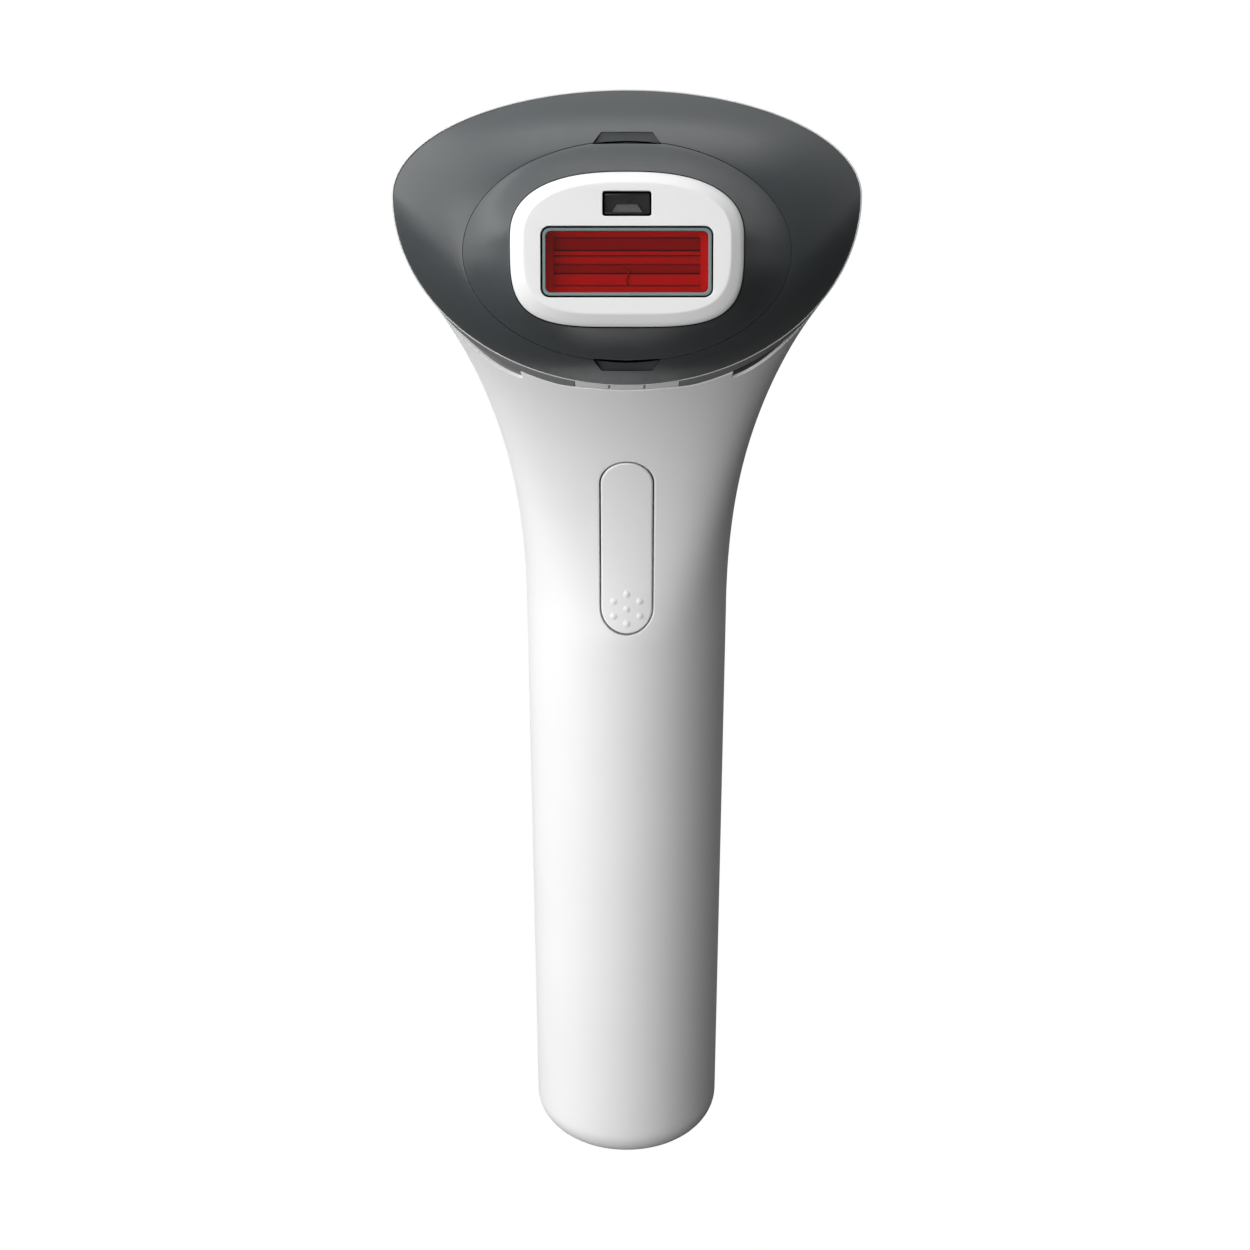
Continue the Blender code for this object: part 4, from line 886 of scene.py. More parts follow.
KEY_EDGE = 0.35 * MM
KEY_DISH = 0.22 * MM
KEY_PITCH = 0.25 * MM
PANEL_EDGE = 0.18 * MM
PLATE_WALL = 1.4 * MM
MARK_RISE = 0.03 * MM
POWER_ARC = (1.35 * MM, 0.32 * MM, 0.55)  # radius, width and half of the gap in radians
POWER_STROKE = (0.16 * MM, 0.75 * MM, (0, 1.15 * MM))
STRENGTH_BARS = 4
BAR_PITCH = 0.75 * MM
BAR_HALF_WIDTH = 0.2 * MM
BAR_HALF_HEIGHT = 0.45 * MM
BAR_GROWTH = 0.3 * MM


def key_dish(node, offset=0.0):
    """Depth of the key's shallow dish as a function of the place on it, with an offset."""
    flat = stadium(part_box(node))[0] - KEY_EDGE
    return lambda u, v: KEY_DISH * max(0.0, 1 - (math.hypot(u, v) / flat) ** 2) + offset


def key(name, node, body):
    """A round key with a shallow dish for the fingertip."""
    plane = upright(node, (1.6, BACK))
    dish = key_dish(node)
    outline = disc(stadium(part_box(node))[0], count=72)
    cuts = even_cuts(outline, KEY_PITCH, KEY_PITCH)
    bm = skin_plate([outline], plane, KEY_EDGE, PLATE_WALL, cuts, lambda u, v: -dish(u, v))
    piece(name, bm, body, BUTTON_WHITE, [node], sharp=60)
    return plane


def mark(name, body, plane, outlines, depth):
    """A thin printed mark, standing a hair's breadth above the dished key."""
    bm = bmesh.new()
    for group in outlines:
        part = flat_sheet([outline(0) for outline in group], *even_cuts(group[0], 0.4 * MM, 0.4 * MM))
        round_off(part, 0.01 * MM, 0.1 * MM, steps=1)
        mesh = finished("mark_part", part)
        bm.from_mesh(mesh)
        bpy.data.meshes.remove(mesh)
    for vertex in bm.verts:
        u, drop, v = vertex.co
        vertex.co = plane.lay(u, v, depth(u, v) + drop)
    piece(name, bm, body, MARK_GREY)


def bar(half_width, half_height, centre):
    return rectangle(half_width, half_height, 0.9 * min(half_width, half_height), centre, steps=4)


def arc_band(radius, width, gap, count=28):
    """A band round a circle, open at the top by twice the gap."""

    def arc(reach):
        angles = [math.pi / 2 + gap + (math.tau - 2 * gap) * i / count for i in range(count + 1)]
        return [(reach * math.cos(a), reach * math.sin(a)) for a in angles]

    return lambda _: arc(radius + width / 2) + arc(radius - width / 2)[::-1]


def rear_controls():
    half_u, half_v, level = stadium(PANEL_BOX)
    holes = []
    for node, gap in (("power_button", SLIDE_GAP), ("intensity_button", SLIDE_GAP), ("ready_light", GAP)):
        half, _, height = stadium(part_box(node))
        holes.append(disc(half + gap, (0, height - level)))
    guide_u, guide_v, guide_level = stadium(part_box("intensity_light_guide"))
    holes.append(rectangle(guide_u + GAP, guide_v + GAP, guide_u + 0.9 * GAP, (0, guide_level - level)))
    outline = rectangle(half_u, half_v, half_u * ROUND_END, steps=20)
    cuts = even_cuts(outline, 0.5 * MM, 1.5 * MM)
    bm = skin_plate([outline, *holes], PANEL_PLANE, PANEL_EDGE, PLATE_WALL, cuts)
    item = piece("rear_control_panel", bm, "housing", PANEL_GREY, ["rear_panel"], sharp=60)
    even_shading(item)
    power = key("power_key_cap", "power_button", "power_key")
    strength = key("intensity_key_cap", "intensity_button", "intensity_key")
    ring_and_stroke = [[arc_band(*POWER_ARC)], [bar(*POWER_STROKE)]]
    mark("power_mark", "power_key", power, ring_and_stroke, key_dish("power_button", -MARK_RISE))
    rising_bars = []
    for i in range(STRENGTH_BARS):
        centre = (i - (STRENGTH_BARS - 1) / 2) * BAR_PITCH, i * BAR_GROWTH - BAR_HALF_HEIGHT
        rising_bars.append([bar(BAR_HALF_WIDTH, BAR_HALF_HEIGHT + i * BAR_GROWTH, centre)])
    mark("intensity_mark", "intensity_key", strength, rising_bars, key_dish("intensity_button", -MARK_RISE))
    light_guide(guide_u, guide_v, guide_level)
    ready_light()


GUIDE_WINDOWS = 5
GUIDE_MARGIN = 0.6 * MM
WINDOW_LONG = 0.75 * MM
WINDOW_ROUND = 0.7 * MM
LENS_RISE = 0.08 * MM


def light_guide(half_u, half_v, level):
    """A milky strip with five raised windows, one for each strength."""
    plane = Plane((0, 0, level), (0, 0, 1), (1.8, BACK))
    pitch = 2 * (half_v - GUIDE_MARGIN) / GUIDE_WINDOWS
    levels = [pitch * (i - (GUIDE_WINDOWS - 1) / 2) for i in range(GUIDE_WINDOWS)]

    def relief(u, v):
        reach = min(max(abs(v - y) - WINDOW_LONG, 0.0) for y in levels)
        return LENS_RISE * math.sqrt(max(0.0, 1 - (math.hypot(u, reach) / WINDOW_ROUND) ** 2))

    outline = rectangle(half_u, half_v, half_u * 0.95)
    cuts = even_cuts(outline, 0.15 * MM, 0.2 * MM)
    bm = skin_plate([outline], plane, 0.2 * MM, PLATE_WALL, cuts, relief)
    piece("strength_light_strip", bm, "housing", MILKY, ["intensity_light_guide"], sharp=60)


def ready_light():
    plane = upright("ready_light", (1.85, BACK))
    radius = stadium(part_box("ready_light"))[0]
    outline = disc(radius, count=48)

    def relief(u, v):
        return LENS_RISE * max(0.0, 1 - (math.hypot(u, v) / radius) ** 2)

    cuts = even_cuts(outline, 0.2 * MM, 0.2 * MM)
    bm = skin_plate([outline], plane, 0.15 * MM, PLATE_WALL, cuts, relief)
    piece("ready_lens", bm, "housing", MILKY, ["ready_light"], sharp=60)


def rear_grille():
    outline = rectangle(*GRILLE_HALF, GRILLE_CORNER, steps=14)
    pitch = 2 * GRILLE_HALF[1] / (GRILLE_SLOTS + 1)
    holes = []
    for i in range(GRILLE_SLOTS):
        v = -GRILLE_HALF[1] + pitch * (i + 1)
        slot = GRILLE_SLOT_WIDTH * GRILLE_HALF[0], GRILLE_SLOT_HEIGHT * pitch
        holes.append(rectangle(*slot, 0.25 * pitch, (0, v), steps=5))
    cuts = even_cuts(outline, 0.6 * MM, 1.0 * MM)
    bm = skin_plate([outline, *holes], GRILLE_PLANE, 0.15 * MM, 1.5 * MM, cuts)
    item = piece("rear_air_grille", bm, "housing", PANEL_GREY, ["rear_grille"], sharp=60)
    even_shading(item)


# Collar under the bezel ----------------------------------------------------------------------------

COLLAR_SINK = 0.12 * MM
SLEEVE_SINK = 0.5 * MM
COLLAR_INSIDE = 1.7 * MM
HAIR = 0.05 * MM
CLIP_GAP = 0.14 * MM
CLIP_SINK = 0.1 * MM
COLLAR_STEP = 1.2  # degrees
THROAT_OVERLAP = 0.25 * MM
# Angles round the head in degrees, where 270 is the front
BAND_SPAN = (283.2, 616.8)
# The right throat is black as painted shade; the lit left one keeps the collar's grey.
THROATS = (("left", (213, 243), COLLAR_GREY), ("right", (297, 327), THROAT_SHADE_BLACK))
CLIPS = (
    ("collar_clip_left", (257.0, 265.3)),
    ("collar_tab", (265.85, 274.15)),
    ("collar_clip_right", (274.7, 283.0)),
)


def collar_band(name, nodes, material, span, sink, ends):
    """A stretch of the band under the bezel. ends gives its depths at an angle, top edge first."""
    start, end = span
    steps = max(6, round((end - start) / COLLAR_STEP))
    rings = []
    for i in range(steps + 1):
        angle = math.radians(start + (end - start) * i / steps)
        high, low = ends(angle)
        rings.append(
            [
                inward(near_rim_point(angle, low), COLLAR_INSIDE),
                inward(near_rim_point(angle, low), sink + HAIR),
                inward(near_rim_point(angle, low - HAIR), sink),
                inward(near_rim_point(angle, high + HAIR), sink),
                inward(near_rim_point(angle, high), sink + HAIR),
                inward(near_rim_point(angle, high), COLLAR_INSIDE),
            ]
        )
    piece(name, capped(rings), "housing", material, nodes, sharp=30)


def collar():
    top = RIM_DEPTH + HAIR
    collar_band(
        "vent_band", ["vent_collar"], COLLAR_GREY, BAND_SPAN, COLLAR_SINK,
        lambda angle: (top, band_foot(angle) - HAIR),
    )
    for side, span, material in THROATS:
        collar_band(
            f"vent_throat_{side}", (), material, span, SLEEVE_SINK,
            lambda angle: (band_foot(angle), shell_edge_depth(angle) + THROAT_OVERLAP),
        )
    for name, span in CLIPS:
        collar_band(
            f"{name}_cover", [name], CLIP_SHADED_WHITE, span, CLIP_SINK,
            lambda angle: (top, band_foot(angle) - CLIP_GAP),
        )


# Head ----------------------------------------------------------------------------------------------

HEAD_STEPS = 288
SEAM_GAP = 0.05 * MM
SEAM_EASE = 0.05 * MM
RIM_EASE = 0.2 * MM
BEAD_RADIUS = 0.13 * MM
BEAD_INSET = 1.35  # radii from the rim to the bead's middle


def round_the_head(section):
    """A ring whose cross-section is a closed loop of (x, y, depth) for each angle."""
    bm = bmesh.new()
    rings = [[face_point(*p) for p in section(a)] for a in turns(HEAD_STEPS)]
    loft(bm, rings, closed=True, loop=True)
    return bm


def corner(before, tip, after, steps=4):
    """Points of a curve that leaves one point and reaches another, bent towards the tip."""
    points = []
    for i in range(steps + 1):
        t = i / steps
        points.append(before * (1 - t) ** 2 + tip * 2 * t * (1 - t) + after * t * t)
    return points


def dome_section(inner, outer, inner_wall, top, rise, swell, edge, lip):
    """Section of a domed ring between two outlines: its wall, rounded edges, dome and underside."""

    def section(angle):
        a, b = Vector((*inner(angle), 0)), Vector((*outer(angle), 0))
        down = Vector((0, 0, 1))

        def dome(share):
            return a + (b - a) * share + down * (top + rise * (share + swell * share * (1 - share)))

        start, end = dome(0), dome(1)
        first = 1.6 * edge / (b - a).length
        last = 1 - 1.6 * lip / (b - a).length
        points = corner(start + down * edge, start, dome(first))
        points += [dome(first + (last - first) * i / 24) for i in range(1, 24)]
        inside = (a - b).normalized()
        points += corner(dome(last), end, end + inside * lip * 0.6)
        under = Vector((*inner_wall(angle), 0))
        for share in (1, 0.66, 0.33, 0):
            depth = top + FACE_WALL + rise * (share + swell * share * (1 - share))
            points.append(a + (under - a) * share + down * min(depth, top + rise))
        return points

    return section


def notch_cutter(name, level, side, deep, shallow):
    """A wedge for a fingernail, with one floor depth at the seam and another at its far, narrower edge."""
    near = level - side * NOTCH_START
    far = level + side * NOTCH_REACH
    rings = []
    for depth, grow in ((SEAM_DEPTH - NOTCH_CLEAR, NOTCH_FLARE), (None, 0.0)):
        rows = []
        for x, y, floor in (
            (-NOTCH_HALF_WIDTH, near, deep),
            (NOTCH_HALF_WIDTH, near, deep),
            (NOTCH_HALF_END, far, shallow),
            (-NOTCH_HALF_END, far, shallow),
        ):
            wide = math.copysign(grow, x)
            reach = side * grow if y == far else 0
            rows.append(face_point(x + wide, y + reach, floor if depth is None else depth))
        rings.append(rows)
    bm = capped(rings)
    bmesh.ops.recalc_face_normals(bm, faces=bm.faces)
    return bpy.data.objects.new(name, finished(name, bm))


def cut(item, tools):
    """Cuts the tools from an item for good, so that no helper is left in the scene."""
    for tool in tools:
        SCENE.collection.objects.link(tool)
        modify(item, "BOOLEAN", operation="DIFFERENCE", object=tool, solver="EXACT")
    bpy.context.view_layer.update()
    graph = bpy.context.evaluated_depsgraph_get()
    mesh = bpy.data.meshes.new_from_object(item.evaluated_get(graph))
    item.modifiers.clear()
    item.data = mesh
    mesh.shade_smooth()
    mesh.set_sharp_from_angle(angle=math.radians(30))
    for tool in tools:
        bpy.data.objects.remove(tool)


def notches():
    floor = SEAM_DEPTH + NOTCH_DEEP
    return [
        notch_cutter("notch_top", CAP_HIGH.y, 1, floor, SEAM_DEPTH + NOTCH_FAR_TOP),
        notch_cutter("notch_bottom", CAP_LOW.y, -1, floor, SEAM_DEPTH + NOTCH_FAR_BOTTOM),
    ]


def bezel():
    section = dome_section(
        lambda a: seam_outline(a, SEAM_GAP),
        lambda a: rim_outline(a, -BEAD_RADIUS),
        lambda a: rim_outline(a, -SHELL_WALL),
        SEAM_DEPTH,
        RIM_DEPTH - SEAM_DEPTH,
        -DOME_SWELL,
        SEAM_EASE,
        RIM_EASE,
    )
    item = piece("head_bezel", round_the_head(section), "housing", BEZEL, ["bezel_ring"])
    cut(item, notches())


def rim_bead():
    """A glossy light grey bead round the outer edge of the bezel; its pale colour is a painted highlight
    that draws a light line along it.
    """
    bm = bmesh.new()
    rings = []
    for a in turns(HEAD_STEPS):
        here = Vector(rim_outline(a))
        out = (Vector(rim_outline(a, 1)) - here).normalized()
        ring = []
        for turn in turns(10):
            place = here + out * BEAD_RADIUS * (math.cos(turn) - BEAD_INSET)
            ring.append(face_point(place.x, place.y, RIM_DEPTH + BEAD_RADIUS * (math.sin(turn) - 1)))
        rings.append(ring)
    loft(bm, rings, loop=True)
    piece("head_bezel_highlight_bead", bm, "housing", HIGHLIGHT_BEAD)


def attachment_dome():
    section = dome_section(
        lambda a: frame_outline(a, 0.18 * MM),
        seam_outline,
        lambda a: seam_outline(a, -FACE_WALL),
        CAP_EDGE_DEPTH,
        SEAM_DEPTH - CAP_EDGE_DEPTH,
        DOME_SWELL,
        0.15 * MM,
        SEAM_EASE,
    )
    item = piece(
        "attachment_dome", round_the_head(section), "attachment", BEZEL, ["attachment_cap"]
    )
    cut(item, notches())


def head_piece(name, bm, body, material, nodes=(), sharp=40):
    bm.transform(HEAD)
    item = piece(name, bm, body, material, nodes, sharp)
    even_shading(item)
    return item


WINDOW_HALF = (RING_HIGH.x + GAP, RING_HIGH.y + GAP)
WINDOW_CORNER = 1.5 * MM
RING_WIDTH = 0.55 * MM
PANE_HALF = (RING_HIGH.x - RING_WIDTH, RING_HIGH.y - RING_WIDTH)
BORE_HALF = (12.2 * MM, 4.05 * MM)
PANE_CORNER = 0.85 * MM
PANE_THINNER = 0.3 * MM  # off the back of the CAD's pane
PANE_RISE = 0.2 * MM  # of its front, above the CAD's pane
TUNNEL_CHAMFER = 1.4 * MM
RIBS_BELOW = 1.6 * MM
SENSOR_MIDDLE = (0, (SENSOR_LOW.y + SENSOR_HIGH.y) / 2)
SENSOR_HALF = (SENSOR_HIGH.x + SLIDE_GAP, (SENSOR_HIGH.y - SENSOR_LOW.y) / 2 + SLIDE_GAP)


def contact_frame():
    """The white frame that rests on the skin: a flat face with a broad bevel and two openings."""
    low = FRAME_LOW.z
    path = rounded_path(
        [
            (-FRAME_BEVEL - FRAME_FLAT, 0, 0),
            (-FRAME_BEVEL, 0, 0.25 * MM),
            (-FRAME_KNEE[0] * FRAME_BEVEL, -FRAME_KNEE[1] * FRAME_BEVEL_DROP, 0.4 * MM),
            (0, -FRAME_BEVEL_DROP, 0.3 * MM),
            (0, low, 0.2 * MM),
            (-FRAME_FOOT, low, 0),
        ],
        steps=6,
    )[1:]
    hole = plate_path(0.14 * MM, low, 0, side=1)
    window = rectangle(*WINDOW_HALF, WINDOW_CORNER)
    sensor = rectangle(*SENSOR_HALF, 0.45 * MM, SENSOR_MIDDLE)
    bm = layered_plate([(oval(frame_outline), path), (window, hole), (sensor, hole)])
    head_piece("contact_frame", bm, "skin_frame", FRAME_WHITE, ["safety_frame"], sharp=50)


def window_pieces():
    """Teal ring, red pane, light tunnel with bevelled walls, and the ribs in the tunnel."""
    low, high = RING_LOW.z, RING_HIGH.z
    edge = rectangle(RING_HIGH.x, RING_HIGH.y, WINDOW_CORNER - GAP), plate_path(0.12 * MM, low, high)
    inside = rectangle(PANE_HALF[0] + HAIR, PANE_HALF[1] + HAIR, PANE_CORNER + HAIR)
    bm = layered_plate([edge, (inside, plate_path(0.1 * MM, low, high, 1))])
    head_piece("window_ring", bm, "attachment", TEAL, ["window_frame"])
    path = plate_path(0.05 * MM, GLASS_LOW.z + PANE_THINNER, GLASS_HIGH.z + PANE_RISE)
    bm = layered_plate([(rectangle(*PANE_HALF, PANE_CORNER), path)])
    head_piece("red_window", bm, "attachment", RED_GLASS, ["red_filter"])
    low, high = face_box("light_tunnel", FACE_CENTRE)
    outer = rectangle(high.x, high.y, 1.2 * MM), plate_path(0.1 * MM, low.z, high.z)
    chamfer = high.x - BORE_HALF[0] - 0.25 * MM
    walls = [(chamfer, high.z), (0, high.z - TUNNEL_CHAMFER), (0, low.z)]
    bm = layered_plate([outer, (rectangle(*BORE_HALF, 0.3 * MM), walls)])
    head_piece("tunnel", bm, "attachment", TUNNEL_SILVER, ["light_tunnel"], sharp=25)
    light_ribs(high.z - RIBS_BELOW)


# Each rib's section, as heights up the face and depths below the ribs' top, in millimetres
RIBS = (
    ("rib_upper", RIB_DARK_PAINTED_SHADE, [(4.0, 0.6), (3.86, 0.05), (2.05, 0.0), (1.93, 0.6)]),
    ("rib_ledge", RIB_PAINTED_LIGHT, [(1.8, 0.6), (1.72, 0.1), (1.12, 0.1), (1.04, 0.6)]),
    ("rib_shade", RIB_DARK_PAINTED_SHADE, [(-0.5, 0.6), (-0.56, 0.15), (-1.78, 0.2), (-1.86, 0.6)]),
    ("rib_lower", RIB_PAINTED_LIGHT, [(-2.0, 0.6), (-2.08, 0.1), (-3.84, 0.0), (-3.98, 0.6)]),
)
RIB_FOOT = 0.9
RIB_END_GAP = 0.03 * MM
LAMP_BEAD_LEVEL = 0.25
LAMP_BEAD_HALF = (0.72, 0.6)
BACKING_THICKNESS = 0.3 * MM
BACKING_DEPTH = 1.3 * MM


def light_ribs(top):
    """Ribs across the tunnel, which show through the red pane as bands round a lamp-like bead. Their dark
    and mid grey are painted shade and painted light for the reflector's bands.
    """
    half = BORE_HALF[0] - RIB_END_GAP
    for name, material, line in RIBS:
        foot = [(line[-1][0], RIB_FOOT), (line[0][0], RIB_FOOT)]
        rings = [[(x, y * MM, top - depth * MM) for y, depth in line + foot] for x in (-half, half)]
        head_piece(name, capped(rings), "attachment", material, sharp=20)
    wide, deep = LAMP_BEAD_HALF
    section = [(LAMP_BEAD_LEVEL + wide * math.cos(a), deep * (math.sin(a) - 1)) for a in turns(32)]
    rings = [[(x, y * MM, top + z * MM) for y, z in section] for x in (-half, half)]
    head_piece("rib_bead", capped(rings), "attachment", RIB_BEAD, sharp=50)
    # A black backing that shows through the gaps between the ribs as dark lines: painted shade.
    size = 2 * half, 2 * (BORE_HALF[1] - RIB_END_GAP), BACKING_THICKNESS
    bm = block(size, (0, 0, top - BACKING_DEPTH))
    head_piece("rib_backing", bm, "attachment", BLACK)
    spring_clip(top)


# Points of the bent wire: across, up the face and out from the ribs' top, in millimetres
CLIP_WIRE = (
    (-0.45, -1.1, 0.1),
    (0.1, -1.5, 0.25),
    (0.35, -1.0, 0.3),
    (0.3, -2.2, 0.28),
    (-0.1, -2.6, 0.25),
    (-0.15, -3.4, 0.2),
    (0.3, -3.9, 0.1),
)
CLIP_WIRE_RADIUS = 0.15 * MM


def spring_clip(top):
    """A small bent wire on the lower ribs."""
    curve = bpy.data.curves.new("rib_clip", "CURVE")
    curve.dimensions = "3D"
    curve.bevel_depth = CLIP_WIRE_RADIUS
    curve.bevel_resolution = 3
    curve.use_fill_caps = True
    spline = curve.splines.new("NURBS")
    spline.points.add(len(CLIP_WIRE) - 1)
    spline.use_endpoint_u = True
    for place, (x, y, z) in zip(spline.points, CLIP_WIRE):
        place.co = (x * MM, y * MM, top + z * MM, 1)
    item = bpy.data.objects.new("rib_clip_curve", curve)
    SCENE.collection.objects.link(item)
    bpy.context.view_layer.update()
    mesh = bpy.data.meshes.new_from_object(item.evaluated_get(bpy.context.evaluated_depsgraph_get()))
    bm = bmesh.new()
    bm.from_mesh(mesh)
    bpy.data.objects.remove(item)
    bpy.data.meshes.remove(mesh)
    bpy.data.curves.remove(curve)
    head_piece("rib_clip", bm, "attachment", RIB_DARK_PAINTED_SHADE)


BLOCK_HEIGHT = 0.4 * MM
BLOCK_EDGE = 0.15 * MM
BLOCK_HALVES = (2.6 * MM, 1.8 * MM)
BLOCK_MARGIN = 0.25 * MM
BLOCK_SHARE = 0.42


def sensor():
    """A glossy dark pane with a matt block, wider at its foot, low in the recess."""
    low, high = SENSOR_LOW, SENSOR_HIGH
    floor = high.z - BLOCK_HEIGHT
    pane = rectangle(high.x, (high.y - low.y) / 2, 0.3 * MM, SENSOR_MIDDLE)
    bm = layered_plate([(pane, plate_path(0.05 * MM, low.z, floor))])
    head_piece("sensor_pane", bm, "attachment", SENSOR_DARK, ["sensor_lens"])

    def trapezoid(grow):
        foot, crown = [half + grow for half in BLOCK_HALVES]
        base = low.y + BLOCK_MARGIN - grow
        top = low.y + BLOCK_MARGIN + BLOCK_SHARE * (high.y - low.y) + grow
        return [(-foot, base), (foot, base), (crown, top), (-crown, top)]

    bm = layered_plate([(trapezoid, [(-BLOCK_EDGE, high.z), (0, high.z - BLOCK_EDGE), (0, floor)])])
    head_piece("sensor_block", bm, "attachment", SENSOR_GREY)


# Lamp and optics -----------------------------------------------------------------------------------


REFLECTOR_WALL = 0.5 * MM


def optics():
    """The reflector trough and, in it, the lamp: a glass rod with rounded ends."""
    low, high = face_box("lamp_reflector", FACE_CENTRE)
    reach = high.y - 0.1 * MM
    section = []
    for i in range(49):
        turn = (-1 + 2 * i / 48) * math.pi / 2
        section.append((reach * math.sin(turn), low.z + (high.z - low.z) * (1 - math.cos(turn))))
    bm = bmesh.new()
    loft(bm, [[(x, y, z) for y, z in section] for x in (low.x, high.x)], closed=False)
    bm.transform(HEAD)
    nodes = ["lamp_reflector"]
    item = piece("reflector_trough", bm, "housing", MIRROR, nodes, orient=False)
    modify(item, "SOLIDIFY", thickness=REFLECTOR_WALL, offset=0)
    low, high = face_box("flash_lamp", FACE_CENTRE)
    radius, centre = (high.z - low.z) / 2, (0, (low.z + high.z) / 2)
    edge = 0.3 * radius
    path = rounded_path([(low.x, 0, 0), (low.x, radius, edge), (high.x, radius, edge), (high.x, 0, 0)])
    bm = capped([[(x, *point) for point in circle(r, centre, 48)] for x, r in path[1:-1]])
    bm.transform(HEAD)
    piece("lamp_tube", bm, "housing", CLEAR_GLASS, ["flash_lamp"], sharp=50)


# Foot of the handle --------------------------------------------------------------------------------


SOCKET_RADIUS = 3.3 * MM
SCREW_HOLE_RADIUS = 1.9 * MM
SCREW_SHANK = 0.9 * MM
SCREW_HEAD = 1.2 * MM
SCREW_RECESS = (1.9 * MM, 0.42 * MM, 1.3 * MM)


def base_end():
    low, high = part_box("base_plate")
    socket = middle("socket_pin")
    screws = [middle(f"base_screw_{side}") for side in ("left", "right")]

    def ellipse(grow):
        return [((high.x + grow) * math.cos(a), (high.y + grow) * math.sin(a)) for a in turns(96)]

    outlines = [
        (ellipse, plate_path(0.2 * MM, low.z, high.z)),
        (disc(SOCKET_RADIUS, (0, socket.y)), plate_path(0.25 * MM, low.z, high.z, 1)),
    ]
    for place in screws:
        hole = disc(SCREW_HOLE_RADIUS, (place.x, place.y), 40)
        outlines.append((hole, plate_path(0.15 * MM, low.z, high.z, 1)))
    piece("base_cover", layered_plate(outlines), "housing", WHITE, ["base_plate"])
    for side, place in zip(("left", "right"), screws):
        screw_top(f"base_screw_head_{side}", f"base_screw_{side}", place)


def screw_top(name, node, place):
    """A pan-head screw seen from below, with a cross recess."""
    low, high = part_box(node)
    radius, neck = (high.x - low.x) / 2, low.z + SCREW_HEAD
    tip = 0.01 * MM
    path = rounded_path(
        [
            (tip, low.z, 0),
            (radius, low.z, 0.35 * MM),
            (radius, neck, 0.1 * MM),
            (SCREW_SHANK, neck, 0),
            (SCREW_SHANK, high.z, 0.3 * MM),
            (tip, high.z, 0),
        ]
    )
    bm = capped([[(x, y, z) for x, y in circle(r, place, 40)] for r, z in path])
    item = piece(name, bm, "housing", STEEL, [node])
    bars = [block(SCREW_RECESS, (place.x, place.y, low.z), turn) for turn in (0, math.pi / 2)]
    cut(item, [bpy.data.objects.new("recess", finished("recess", bar)) for bar in bars])


# CAD nodes that keep their shape -------------------------------------------------------------------

KEPT = (
    (CLEAR_GLASS, ["uv_filter"]),
    (STEEL, ["trigger_clip", *(f"chassis_screw_{i}" for i in range(1, 5))]),
    (STEEL, [f"{name}_{side}" for name in ("frame_spring", "lamp_electrode") for side in ("left", "right")]),
    (BRASS, ["contact_strip", "socket_pin"]),
    (COPPER, ["trigger_transformer"]),
    (ALUMINIUM, ["heat_sink"]),
    (BOARD, ["main_board", "switch_board", "ui_board"]),
    (CERAMIC, ["lamp_housing"]),
    (CELL, ["battery_cell_left", "battery_cell_right"]),
    (CAN, ["flash_capacitor"]),
)


def dress_cad_nodes():
    """Gives each CAD node that is still shown its material. The rest of them are black mouldings."""
    dress = {name: material for material, names in KEPT for name in names}
    for name, node in frame["nodes"].items():
        if not node.hide_render:
            for slot in node.material_slots:
                slot.material = dress.get(name, BLACK)


# Studio --------------------------------------------------------------------------------------------


def aim(item, target):
    item.rotation_euler = (Vector(target) - item.location).to_track_quat("-Z", "Y").to_euler()


def lamp(name, azimuth, elevation, distance, size, power, target):
    """A soft box. Azimuth 0 is in front of the object and -90 on its left."""
    data = bpy.data.lights.new(name, "AREA")
    data.shape = "RECTANGLE"
    data.size, data.size_y = size
    data.energy = power
    item = bpy.data.objects.new(name, data)
    a, e = math.radians(azimuth), math.radians(elevation)
    item.location = Vector(target) + distance * Vector(
        (math.sin(a) * math.cos(e), -math.cos(a) * math.cos(e), math.sin(e))
    )
    SCENE.collection.objects.link(item)
    aim(item, target)
    return item


WALL_FADE = (-0.5, 0.4)  # along Y, from the dim front to the bright back


def world_light(seen, ambient, front, behind):
    """A plain studio. It is bright to the eye, dim as a lamp, and in reflections its back wall shows."""
    world = bpy.data.worlds.new("studio")
    SCENE.world = world
    world.use_nodes = True
    tree = world.node_tree
    place = add(tree, "ShaderNodeTexCoord")
    axes = add(tree, "ShaderNodeSeparateXYZ")
    tree.links.new(place.outputs["Generated"], axes.inputs["Vector"])
    span = {"From Min": WALL_FADE[0], "From Max": WALL_FADE[1], "To Min": front, "To Max": behind}
    wall = add(tree, "ShaderNodeMapRange", interpolation_type="SMOOTHSTEP", **span)
    tree.links.new(axes.outputs["Y"], wall.inputs["Value"])
    path = add(tree, "ShaderNodeLightPath")
    strength = wall.outputs["Result"]
    for ray, level in (("Is Diffuse Ray", ambient), ("Is Camera Ray", seen)):
        choice = add(tree, "ShaderNodeMix", data_type="FLOAT")
        tree.links.new(path.outputs[ray], choice.inputs[0])
        tree.links.new(strength, choice.inputs[2])
        choice.inputs[3].default_value = level
        strength = choice.outputs[0]
    tree.links.new(strength, tree.nodes["Background"].inputs["Strength"])
    tree.nodes["Background"].inputs["Color"].default_value = (1, 1, 1, 1)


FLOOR_ALBEDO = 0.1


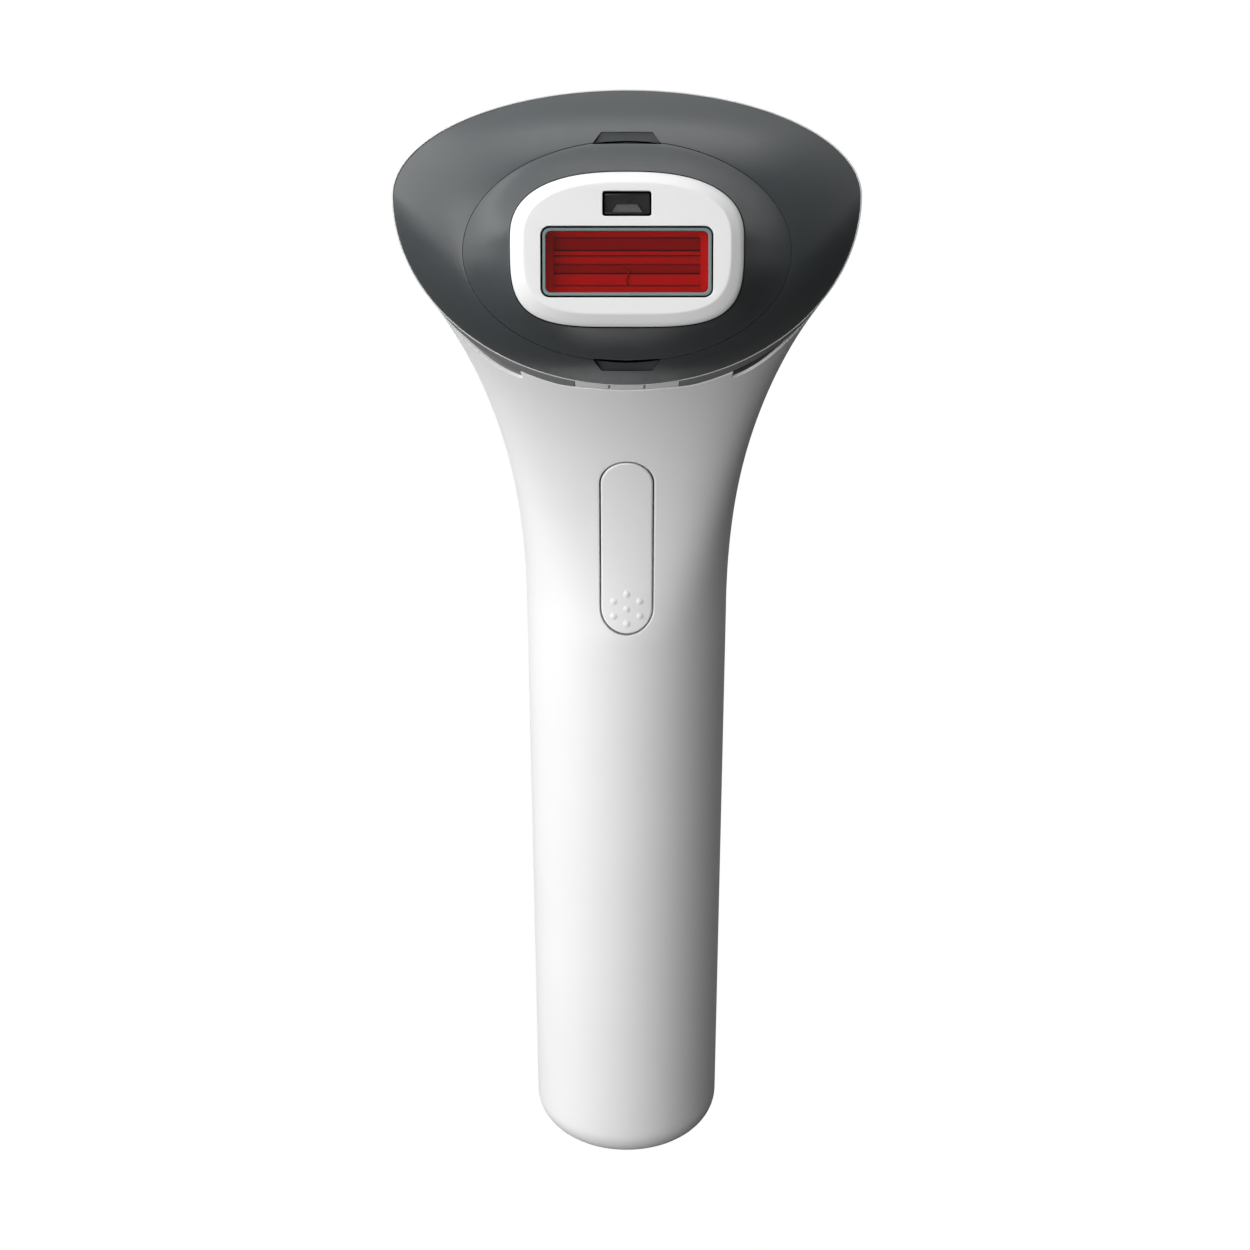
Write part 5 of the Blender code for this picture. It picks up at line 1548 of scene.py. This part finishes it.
def floor_material():
    """Paper so bright that it meets the background, while it throws only a little light back up."""
    paper = (FLOOR_ALBEDO,) * 3
    material, tree, shader = new_material("floor_paper", paper, 0.9)
    vary_colour(tree, shader, noise(tree, 3, 2), scaled(paper, 0.97), scaled(paper, 1.03))
    glow = add(tree, "ShaderNodeEmission", Strength=1.0)
    path = add(tree, "ShaderNodeLightPath")
    choice = add(tree, "ShaderNodeMixShader")
    tree.links.new(path.outputs["Is Camera Ray"], choice.inputs["Fac"])
    tree.links.new(shader.outputs["BSDF"], choice.inputs[1])
    tree.links.new(glow.outputs["Emission"], choice.inputs[2])
    tree.links.new(choice.outputs["Shader"], tree.nodes["Material Output"].inputs["Surface"])
    return material


# Name, azimuth, elevation, distance, size and power of each soft box
LAMPS = (
    ("key_light", -88, 32, 0.9, (0.95, 0.95), 6.0),
    ("fill_light", -32, 17, 0.9, (0.8, 0.8), 7.6),
    ("top_light", 0, 86, 0.9, (0.9, 0.6), 4.2),
)
FLOOR_SIZE = 6
FLOOR_DROP = 0.2 * MM


def studio():
    low, high = CAD_BOX
    target = Vector((0, 0, (low.z + high.z) / 2))
    world_light(seen=1.0, ambient=0.03, front=0.24, behind=1.0)
    for settings in LAMPS:
        lamp(*settings, target)
    bpy.ops.mesh.primitive_plane_add(size=FLOOR_SIZE, location=(0, 0, -FLOOR_DROP))
    floor = bpy.context.object
    floor.name = "studio_floor"
    floor.data.materials.append(floor_material())


CAMERA_ELEVATION = math.radians(22)
CAMERA_DISTANCE = 533.4 * MM
CAMERA_SIDE = -0.33 * MM
CAMERA_LENS = 80.0
SENSOR_WIDTH = 36.0


def camera():
    low, high = CAD_BOX
    data = bpy.data.cameras.new("camera")
    data.lens = CAMERA_LENS
    data.sensor_width = SENSOR_WIDTH
    data.clip_start = 0.01
    data.clip_end = 20
    item = bpy.data.objects.new("camera", data)
    target = Vector((CAMERA_SIDE, 0, (low.z + high.z) / 2 + 0.5 * MM))
    back = Vector((0, -math.cos(CAMERA_ELEVATION), math.sin(CAMERA_ELEVATION)))
    item.location = target + back * CAMERA_DISTANCE
    item.rotation_euler = (math.pi / 2 - CAMERA_ELEVATION, 0, 0)
    SCENE.collection.objects.link(item)
    SCENE.camera = item


camera()
shells()
flash_key()
rear_controls()
rear_grille()
collar()
bezel()
rim_bead()
attachment_dome()
contact_frame()
window_pieces()
sensor()
optics()
base_end()
dress_cad_nodes()
studio()
SCENE.view_settings.view_transform = "Standard"
